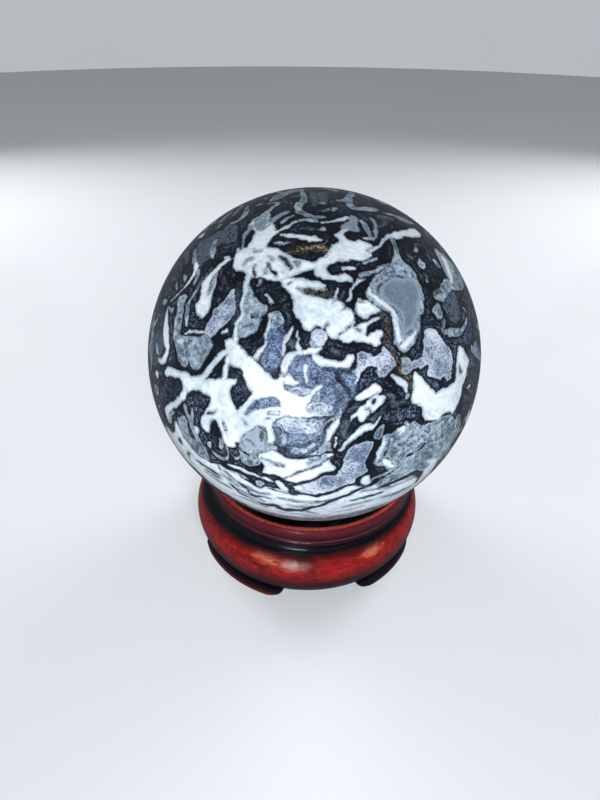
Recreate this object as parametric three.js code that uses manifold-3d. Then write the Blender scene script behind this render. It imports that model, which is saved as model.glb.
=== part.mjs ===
// A polished stone ball resting in a low turned wooden ring stand with four cut feet.
// Millimetres, +Z up. The origin is on the floor, under the middle of the ball.
import * as THREE from "three";
import { mergeVertices } from "three/addons/utils/BufferGeometryUtils.js";
import Module from "manifold-3d";

// Driving dimensions
const BALL_RADIUS = 35;
const BALL_CENTRE_HEIGHT = 48.2;
const SEAT_GAP = 0.3; // between the ball and the ring that it rests on
const SEAT_RADIUS = 19.5;
const DISH_DEPTH = 8.1; // from the seat ring down to the middle of the dish

const LIP = { radius: 23.85, height: 19.25, round: 1.0 };
const COLLAR = { radius: 24.85, bottom: 15.6 };
const SCORE = { height: 16.9, width: 0.5, depth: 0.3 }; // the fine line turned into the collar
const COVE = { radius: 24.0, top: 15.0, bottom: 13.5 }; // the deep groove between collar and belly

const BASE_OFFSET = -0.9; // along X: the belly and feet were turned a little off the collar's axis
const BELLY = { radius: 27.6, height: 7.5, roundOut: 4.75, roundUp: 6.5, roundDown: 6.7 };
const BELLY_TOP_ANGLE = 62; // degrees above level, where the belly's round meets the cove
const BELLY_FOOT_ANGLE = -52; // degrees, where it meets the groove over the feet
const FOOT_GROOVE = { radius: 24.9, height: 1.95 };
const FOOT = { radius: 27.0, top: 26.75, height: 1.25 };
const UNDERSIDE = { radius: 21.5, recess: 2.6 };

// Straight channels right across the underside leave four feet. They were cut by eye, not quite square.
const ARCHES = [
  { azimuth: 7, halfWidth: 12.6 },
  { azimuth: 91, halfWidth: 13.1 },
];
const ARCH_CROWN = { halfWidth: 4.4, height: 3.2 };

const RING_SEGMENTS = 72;
const BALL_SEGMENTS = { around: 64, down: 32 };
const CLEARANCE = 1.0; // how far a cutter runs past what it cuts

const wasm = await Module();
wasm.setup();

// A closed three.js geometry as a solid for joining and cutting.
function toSolid(geometry) {
  const bare = geometry.clone();
  bare.deleteAttribute("normal");
  bare.deleteAttribute("uv");
  const merged = mergeVertices(bare, 1e-4);
  return new wasm.Manifold(
    new wasm.Mesh({
      numProp: 3,
      vertProperties: merged.attributes.position.array,
      triVerts: new Uint32Array(merged.index.array),
    }),
  );
}

function toGeometry(solid) {
  const mesh = solid.getMesh();
  const geometry = new THREE.BufferGeometry();
  geometry.setAttribute("position", new THREE.BufferAttribute(mesh.vertProperties, 3));
  geometry.setIndex(new THREE.BufferAttribute(mesh.triVerts, 1));
  geometry.computeVertexNormals();
  return geometry;
}

const point = (radius, height) => new THREE.Vector2(radius, height);

// Points along an elliptical arc in the profile's plane, both ends included, angles in degrees.
function arc(centre, roundOut, roundUp, from, to, steps) {
  const points = [];
  for (let i = 0; i <= steps; i++) {
    const angle = THREE.MathUtils.degToRad(from + ((to - from) * i) / steps);
    points.push(point(centre.x + roundOut * Math.cos(angle), centre.y + roundUp * Math.sin(angle)));
  }
  return points;
}

// A profile turned about +Z. It starts and ends on the axis and runs from bottom to top.
function turned(profile) {
  const geometry = new THREE.LatheGeometry(profile, RING_SEGMENTS);
  geometry.rotateX(Math.PI / 2);
  return geometry;
}

// Height of the ball's surface, let out by the seat gap, over a given radius.
function seatHeight(radius) {
  return BALL_CENTRE_HEIGHT - Math.sqrt((BALL_RADIUS + SEAT_GAP) ** 2 - radius ** 2);
}

// The feet's ring, the groove over it and the fat belly, up to the cove.
function baseProfile() {
  const centre = point(BELLY.radius - BELLY.roundOut, BELLY.height);
  const lower = arc(centre, BELLY.roundOut, BELLY.roundDown, BELLY_FOOT_ANGLE, 0, 5);
  const upper = arc(centre, BELLY.roundOut, BELLY.roundUp, 0, BELLY_TOP_ANGLE, 6);
  return [
    point(0, UNDERSIDE.recess),
    point(UNDERSIDE.radius, UNDERSIDE.recess),
    point(UNDERSIDE.radius, 0),
    point(FOOT.radius, 0),
    point(FOOT.top, FOOT.height),
    point(FOOT_GROOVE.radius, FOOT_GROOVE.height),
    ...lower,
    ...upper.slice(1),
    point(COVE.radius, COVE.bottom),
    point(0, COVE.bottom),
  ];
}

// The cove's wall, the scored collar and the rounded lip, with the seat ring inside it.
function collarProfile() {
  const halfScore = SCORE.width / 2;
  const seatTop = seatHeight(SEAT_RADIUS);
  return [
    point(0, COVE.bottom - CLEARANCE),
    point(COVE.radius, COVE.bottom - CLEARANCE),
    point(COVE.radius, COVE.top),
    point(COLLAR.radius, COLLAR.bottom),
    point(COLLAR.radius, SCORE.height - halfScore),
    point(COLLAR.radius - SCORE.depth, SCORE.height),
    point(COLLAR.radius, SCORE.height + halfScore),
    ...arc(point(LIP.radius, LIP.height), LIP.round, LIP.round, 0, 160, 6),
    point(SEAT_RADIUS, seatTop),
    point(0, seatTop),
  ];
}

// The hollow under the ball, on a sphere tighter than the ball's.
function dishCutterProfile() {
  const top = seatHeight(SEAT_RADIUS);
  const round = (SEAT_RADIUS ** 2 + DISH_DEPTH ** 2) / (2 * DISH_DEPTH);
  const centre = point(0, top - DISH_DEPTH + round);
  const rim = -THREE.MathUtils.radToDeg(Math.acos(SEAT_RADIUS / round));
  return [
    point(0, top - DISH_DEPTH),
    ...arc(centre, round, round, -90, rim, 6).slice(1),
    point(SEAT_RADIUS, top + CLEARANCE),
    point(0, top + CLEARANCE),
  ];
}

// A channel's solid, with sides that ease up to a flat crown.
function archCutter({ azimuth, halfWidth }) {
  const crown = ARCH_CROWN;
  const ease = (halfWidth - crown.halfWidth) / 3;
  const low = halfWidth - ease;
  const high = crown.halfWidth + ease;
  const outline = new THREE.Shape();
  outline.moveTo(-halfWidth, -CLEARANCE);
  outline.lineTo(halfWidth, -CLEARANCE);
  outline.lineTo(halfWidth, 0);
  outline.bezierCurveTo(low, 0, high, crown.height, crown.halfWidth, crown.height);
  outline.lineTo(-crown.halfWidth, crown.height);
  outline.bezierCurveTo(-high, crown.height, -low, 0, -halfWidth, 0);
  outline.closePath();
  const length = 2 * (BELLY.radius + CLEARANCE);
  const cutter = new THREE.ExtrudeGeometry(outline, {
    depth: length,
    curveSegments: 6,
    bevelEnabled: false,
  });
  cutter.translate(0, 0, -length / 2);
  cutter.rotateX(Math.PI / 2);
  cutter.rotateZ(THREE.MathUtils.degToRad(azimuth));
  return cutter;
}

function woodenStand() {
  let base = toSolid(turned(baseProfile()));
  for (const arch of ARCHES) base = base.subtract(toSolid(archCutter(arch)));
  const collar = toSolid(turned(collarProfile()));
  const dish = toSolid(turned(dishCutterProfile()));
  const stand = base.translate(BASE_OFFSET, 0, 0).add(collar).subtract(dish);
  const lacquer = new THREE.MeshStandardMaterial({ color: 0x8e2013, roughness: 0.25, metalness: 0 });
  const mesh = new THREE.Mesh(toGeometry(stand), lacquer);
  mesh.name = "wooden_stand";
  return mesh;
}

function stoneSphere() {
  const ball = new THREE.SphereGeometry(BALL_RADIUS, BALL_SEGMENTS.around, BALL_SEGMENTS.down);
  ball.rotateX(Math.PI / 2);
  const polished = new THREE.MeshStandardMaterial({ color: 0x5e636b, roughness: 0.1, metalness: 0 });
  const mesh = new THREE.Mesh(toGeometry(toSolid(ball)), polished);
  mesh.name = "stone_sphere";
  mesh.position.z = BALL_CENTRE_HEIGHT;
  return mesh;
}

const ornament = new THREE.Group();
ornament.add(stoneSphere(), woodenStand());

export default ornament;
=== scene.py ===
"""A polished patterned stone ball on a turned, lacquered wooden stand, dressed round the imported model."""
import math

import bpy
import numpy as np
from mathutils import Matrix, Vector, noise


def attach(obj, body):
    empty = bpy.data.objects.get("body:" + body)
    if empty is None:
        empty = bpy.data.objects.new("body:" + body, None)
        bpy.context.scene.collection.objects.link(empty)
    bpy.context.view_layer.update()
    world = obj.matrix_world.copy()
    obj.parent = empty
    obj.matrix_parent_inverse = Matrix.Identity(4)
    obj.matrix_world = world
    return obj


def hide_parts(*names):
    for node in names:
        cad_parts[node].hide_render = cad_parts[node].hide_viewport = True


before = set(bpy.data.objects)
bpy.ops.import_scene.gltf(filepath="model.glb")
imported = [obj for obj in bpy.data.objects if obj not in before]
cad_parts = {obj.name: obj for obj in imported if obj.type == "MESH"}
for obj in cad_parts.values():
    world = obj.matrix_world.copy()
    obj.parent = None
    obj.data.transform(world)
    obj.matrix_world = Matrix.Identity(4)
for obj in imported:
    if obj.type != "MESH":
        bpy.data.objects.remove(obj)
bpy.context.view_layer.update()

MM = 0.001


def srgb(red, green, blue):
    """A colour as seen on a screen, 0 to 255, as the linear colour that a shader takes."""
    shares = [value / 255 for value in (red, green, blue)]
    linear = [share / 12.92 if share <= 0.04045 else ((share + 0.055) / 1.055) ** 2.4 for share in shares]
    return (*linear, 1.0)


# ---------------------------------------------------------------- dimensions, in millimetres
BALL_RADIUS = 35.0
BALL_CENTRE_HEIGHT = 48.2
SEAT_GAP = 0.3              # between the ball and the ring that it rests on
SEAT_RADIUS = 19.5
DISH_DEPTH = 8.1
LIP_RADIUS = 23.85
LIP_HEIGHT = 19.25
LIP_ROUND = 1.0
COLLAR_RADIUS = 24.85
COLLAR_BOTTOM = 15.6
SCORE_HEIGHT = 16.9         # the fine line turned into the collar
SCORE_WIDTH = 0.5
SCORE_DEPTH = 0.3
COVE_RADIUS = 24.0
COVE_TOP = 15.0
COVE_BOTTOM = 13.6
BELLY_MIDDLE = (22.85, 7.5)             # radius and height of the middle of the belly's round
BELLY_OUT = 4.75
BELLY_UP = 6.5
BELLY_DOWN = 6.7
BELLY_TOP_ANGLE = 62                    # degrees above level, where the belly meets the cove
BELLY_FOOT_ANGLE = -52
FOOT_OUTLINE = [(24.9, 1.95), (26.75, 1.25), (27.0, 0.0)]   # groove, top edge and floor
BASE_OFFSET = -0.9          # the belly and the feet were turned a little off the collar's axis
UNDERSIDE_RADIUS = 21.5
UNDERSIDE_RECESS = 2.6
ARCHES = ((7.0, 12.6), (91.0, 13.1))    # direction in degrees from the front, half width
ARCH_CROWN_HALF_WIDTH = 4.4
ARCH_CROWN_HEIGHT = 3.2


# ---------------------------------------------------------------- helpers
class Shader:
    """Builds a material's nodes. Every argument may be a number, a colour or another node's output."""

    def __init__(self, name):
        self.material = bpy.data.materials.new(name)
        self.material.use_nodes = True
        self.tree = self.material.node_tree
        self.tree.nodes.clear()

    def feed(self, socket, value):
        if isinstance(value, bpy.types.NodeSocket):
            self.tree.links.new(value, socket)
        else:
            socket.default_value = value

    def node(self, kind, inputs=(), out=0, **settings):
        made = self.tree.nodes.new("ShaderNode" + kind)
        for key, value in settings.items():
            setattr(made, key, value)
        for key, value in dict(inputs).items():
            self.feed(made.inputs[key], value)
        return made.outputs[out]

    def math(self, operation, *values):
        return self.node("Math", dict(enumerate(values)), operation=operation)

    def add(self, a, b):
        return self.math("ADD", a, b)

    def times(self, a, b):
        return self.math("MULTIPLY", a, b)

    def lowest(self, first, *rest):
        for value in rest:
            first = self.math("MINIMUM", first, value)
        return first

    def scaled(self, coordinates, factors):
        return self.node("VectorMath", {0: coordinates, 1: factors}, operation="MULTIPLY")

    def place(self):
        """The place on the object, in millimetres."""
        return self.scaled(self.node("TexCoord", out=3), (1000, 1000, 1000))

    def parts(self, vector):
        """The three numbers of a vector."""
        made = self.tree.nodes.new("ShaderNodeSeparateXYZ")
        self.feed(made.inputs[0], vector)
        return made.outputs

    def noise(self, coordinates, scale, detail=2.0, rough=0.5, distortion=0.0):
        return self.node("TexNoise", {"Vector": coordinates, "Scale": scale, "Detail": detail,
                                      "Roughness": rough, "Distortion": distortion})

    def swing(self, noise, size):
        """Noise about a half turned into a swing of this size about nought."""
        return self.node("Math", {0: noise, 1: 2 * size, 2: -size}, operation="MULTIPLY_ADD")

    def step(self, value, low, high, to_low=0.0, to_high=1.0):
        """A smooth step from to_low, where the value is low, to to_high, where it is high."""
        return self.node("MapRange", {0: value, 1: low, 2: high, 3: to_low, 4: to_high},
                         interpolation_type="SMOOTHSTEP")

    def mix(self, factor, a, b):
        made = self.tree.nodes.new("ShaderNodeMix")
        made.data_type = "RGBA"
        for socket, value in ((made.inputs[0], factor), (made.inputs[6], a), (made.inputs[7], b)):
            self.feed(socket, value)
        return made.outputs[2]

    def attribute(self, name):
        return self.node("Attribute", out=2, attribute_name=name)

    def finish(self, **inputs):
        names = {key.replace("_", " "): value for key, value in inputs.items()}
        surface = self.node("BsdfPrincipled", names)
        output = self.tree.nodes.new("ShaderNodeOutputMaterial")
        self.tree.links.new(surface, output.inputs["Surface"])
        return self.material


def plain_mesh(name, points, faces):
    """A Blender mesh from points in metres."""
    mesh = bpy.data.meshes.new(name)
    mesh.from_pydata(points, [], faces)
    return mesh


def smooth_mesh(name, points, faces):
    """A Blender mesh with smooth shading, from points in millimetres."""
    mesh = plain_mesh(name, points * MM, faces)
    mesh.polygons.foreach_set("use_smooth", [True] * len(mesh.polygons))
    return mesh


def make_object(name, mesh, material):
    mesh.materials.append(material)
    made = bpy.data.objects.new(name, mesh)
    bpy.context.scene.collection.objects.link(made)
    return made


# ---------------------------------------------------------------- camera, lights and floor
BALL_CENTRE = Vector((0, 0, BALL_CENTRE_HEIGHT)) * MM
CAMERA_FROM_BALL = Vector((-2.84, -112.5, 67.41)) * MM
CAMERA_PITCH = 35.0         # degrees down
CAMERA_ROLL = 0.5

camera_data = bpy.data.cameras.new("camera")
camera_data.lens = 27
camera_data.sensor_width = 36
camera_data.clip_start = 0.01
camera = bpy.data.objects.new("camera", camera_data)
camera.matrix_world = (Matrix.Translation(BALL_CENTRE + CAMERA_FROM_BALL)
                       @ Matrix.Rotation(math.radians(90 - CAMERA_PITCH), 4, "X")
                       @ Matrix.Rotation(math.radians(CAMERA_ROLL), 4, "Z"))
bpy.context.scene.collection.objects.link(camera)
bpy.context.scene.camera = camera
bpy.context.scene.view_settings.view_transform = "Standard"

# Round lights that face the ball: place from the ball's centre in millimetres, width in metres, watts,
# spread in degrees, colour, and whether the polish mirrors it.
LIGHTS = {
    "low_front_lamp": ((-86, -390, 5), 0.036, 0.042, 60, (0.95, 0.99, 1.0), True),
    "high_front_softbox": ((50, -420, 240), 0.3, 2.0, 180, (0.92, 0.97, 1.0), False),
    "left_back_fill": ((-330, 330, 150), 0.3, 0.7, 120, (0.96, 0.98, 1.0), False),
    "right_back_fill": ((330, 330, 150), 0.3, 0.7, 120, (0.96, 0.98, 1.0), False),
}
for name, (from_ball, width, watts, spread, colour, mirrored) in LIGHTS.items():
    lamp = bpy.data.lights.new(name, "AREA")
    lamp.shape = "DISK"
    lamp.size = width
    lamp.energy = watts
    lamp.spread = math.radians(spread)
    lamp.color = colour
    light = bpy.data.objects.new(name, lamp)
    light.location = BALL_CENTRE + Vector(from_ball) * MM
    light.rotation_euler = (BALL_CENTRE - light.location).to_track_quat("-Z", "Y").to_euler()
    light.visible_glossy = mirrored
    bpy.context.scene.collection.objects.link(light)

STUDIO_COLOUR = (0.82, 0.88, 1.0, 1)
STUDIO_STRENGTH = 0.13
world = bpy.data.worlds.new("studio")
world.use_nodes = True
world.node_tree.nodes["Background"].inputs[0].default_value = STUDIO_COLOUR
world.node_tree.nodes["Background"].inputs[1].default_value = STUDIO_STRENGTH
bpy.context.scene.world = world

FLOOR_CORNERS = [(-6, -4, 0), (6, -4, 0), (6, 10, 0), (-6, 10, 0)]       # metres
floor_shader = Shader("pale_floor")
floor_place = floor_shader.node("TexCoord", out=3)
floor_cloud = floor_shader.noise(floor_place, 4.0, 3.0)
floor_tone = floor_shader.mix(floor_cloud, srgb(222, 224, 227), srgb(232, 233, 235))
floor_paint = floor_shader.finish(Base_Color=floor_tone, Roughness=0.6, Emission_Color=floor_tone,
                                  Emission_Strength=0.2)
floor = make_object("floor", plain_mesh("floor", FLOOR_CORNERS, [(0, 1, 2, 3)]), floor_paint)
floor.visible_glossy = False     # the polish mirrors the dim studio and not the pale floor

# A pale wall all round, seen behind the object from low angles. It only shows, and lights nothing.
WALL_RADIUS = 1.0           # metres
WALL_HEIGHT = 1.5
WALL_PANELS = 64
wall_shader = Shader("pale_wall")
wall_place = wall_shader.node("TexCoord", out=3)
wall_cloud = wall_shader.noise(wall_place, 1.5, 2.0)
wall_tone = wall_shader.mix(wall_cloud, srgb(176, 180, 186), srgb(190, 193, 198))
wall_paint = wall_shader.finish(Base_Color=srgb(0, 0, 0), Roughness=1.0, Emission_Color=wall_tone,
                                Emission_Strength=1.0)
wall_angles = [math.tau * i / WALL_PANELS for i in range(WALL_PANELS)]
wall_points = [(WALL_RADIUS * math.cos(a), WALL_RADIUS * math.sin(a), z)
               for z in (0.0, WALL_HEIGHT) for a in wall_angles]
wall_faces = [(i, (i + 1) % WALL_PANELS, WALL_PANELS + (i + 1) % WALL_PANELS, WALL_PANELS + i)
              for i in range(WALL_PANELS)]
wall = make_object("wall", plain_mesh("wall", wall_points, wall_faces), wall_paint)
wall.visible_diffuse = wall.visible_glossy = wall.visible_shadow = False


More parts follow.
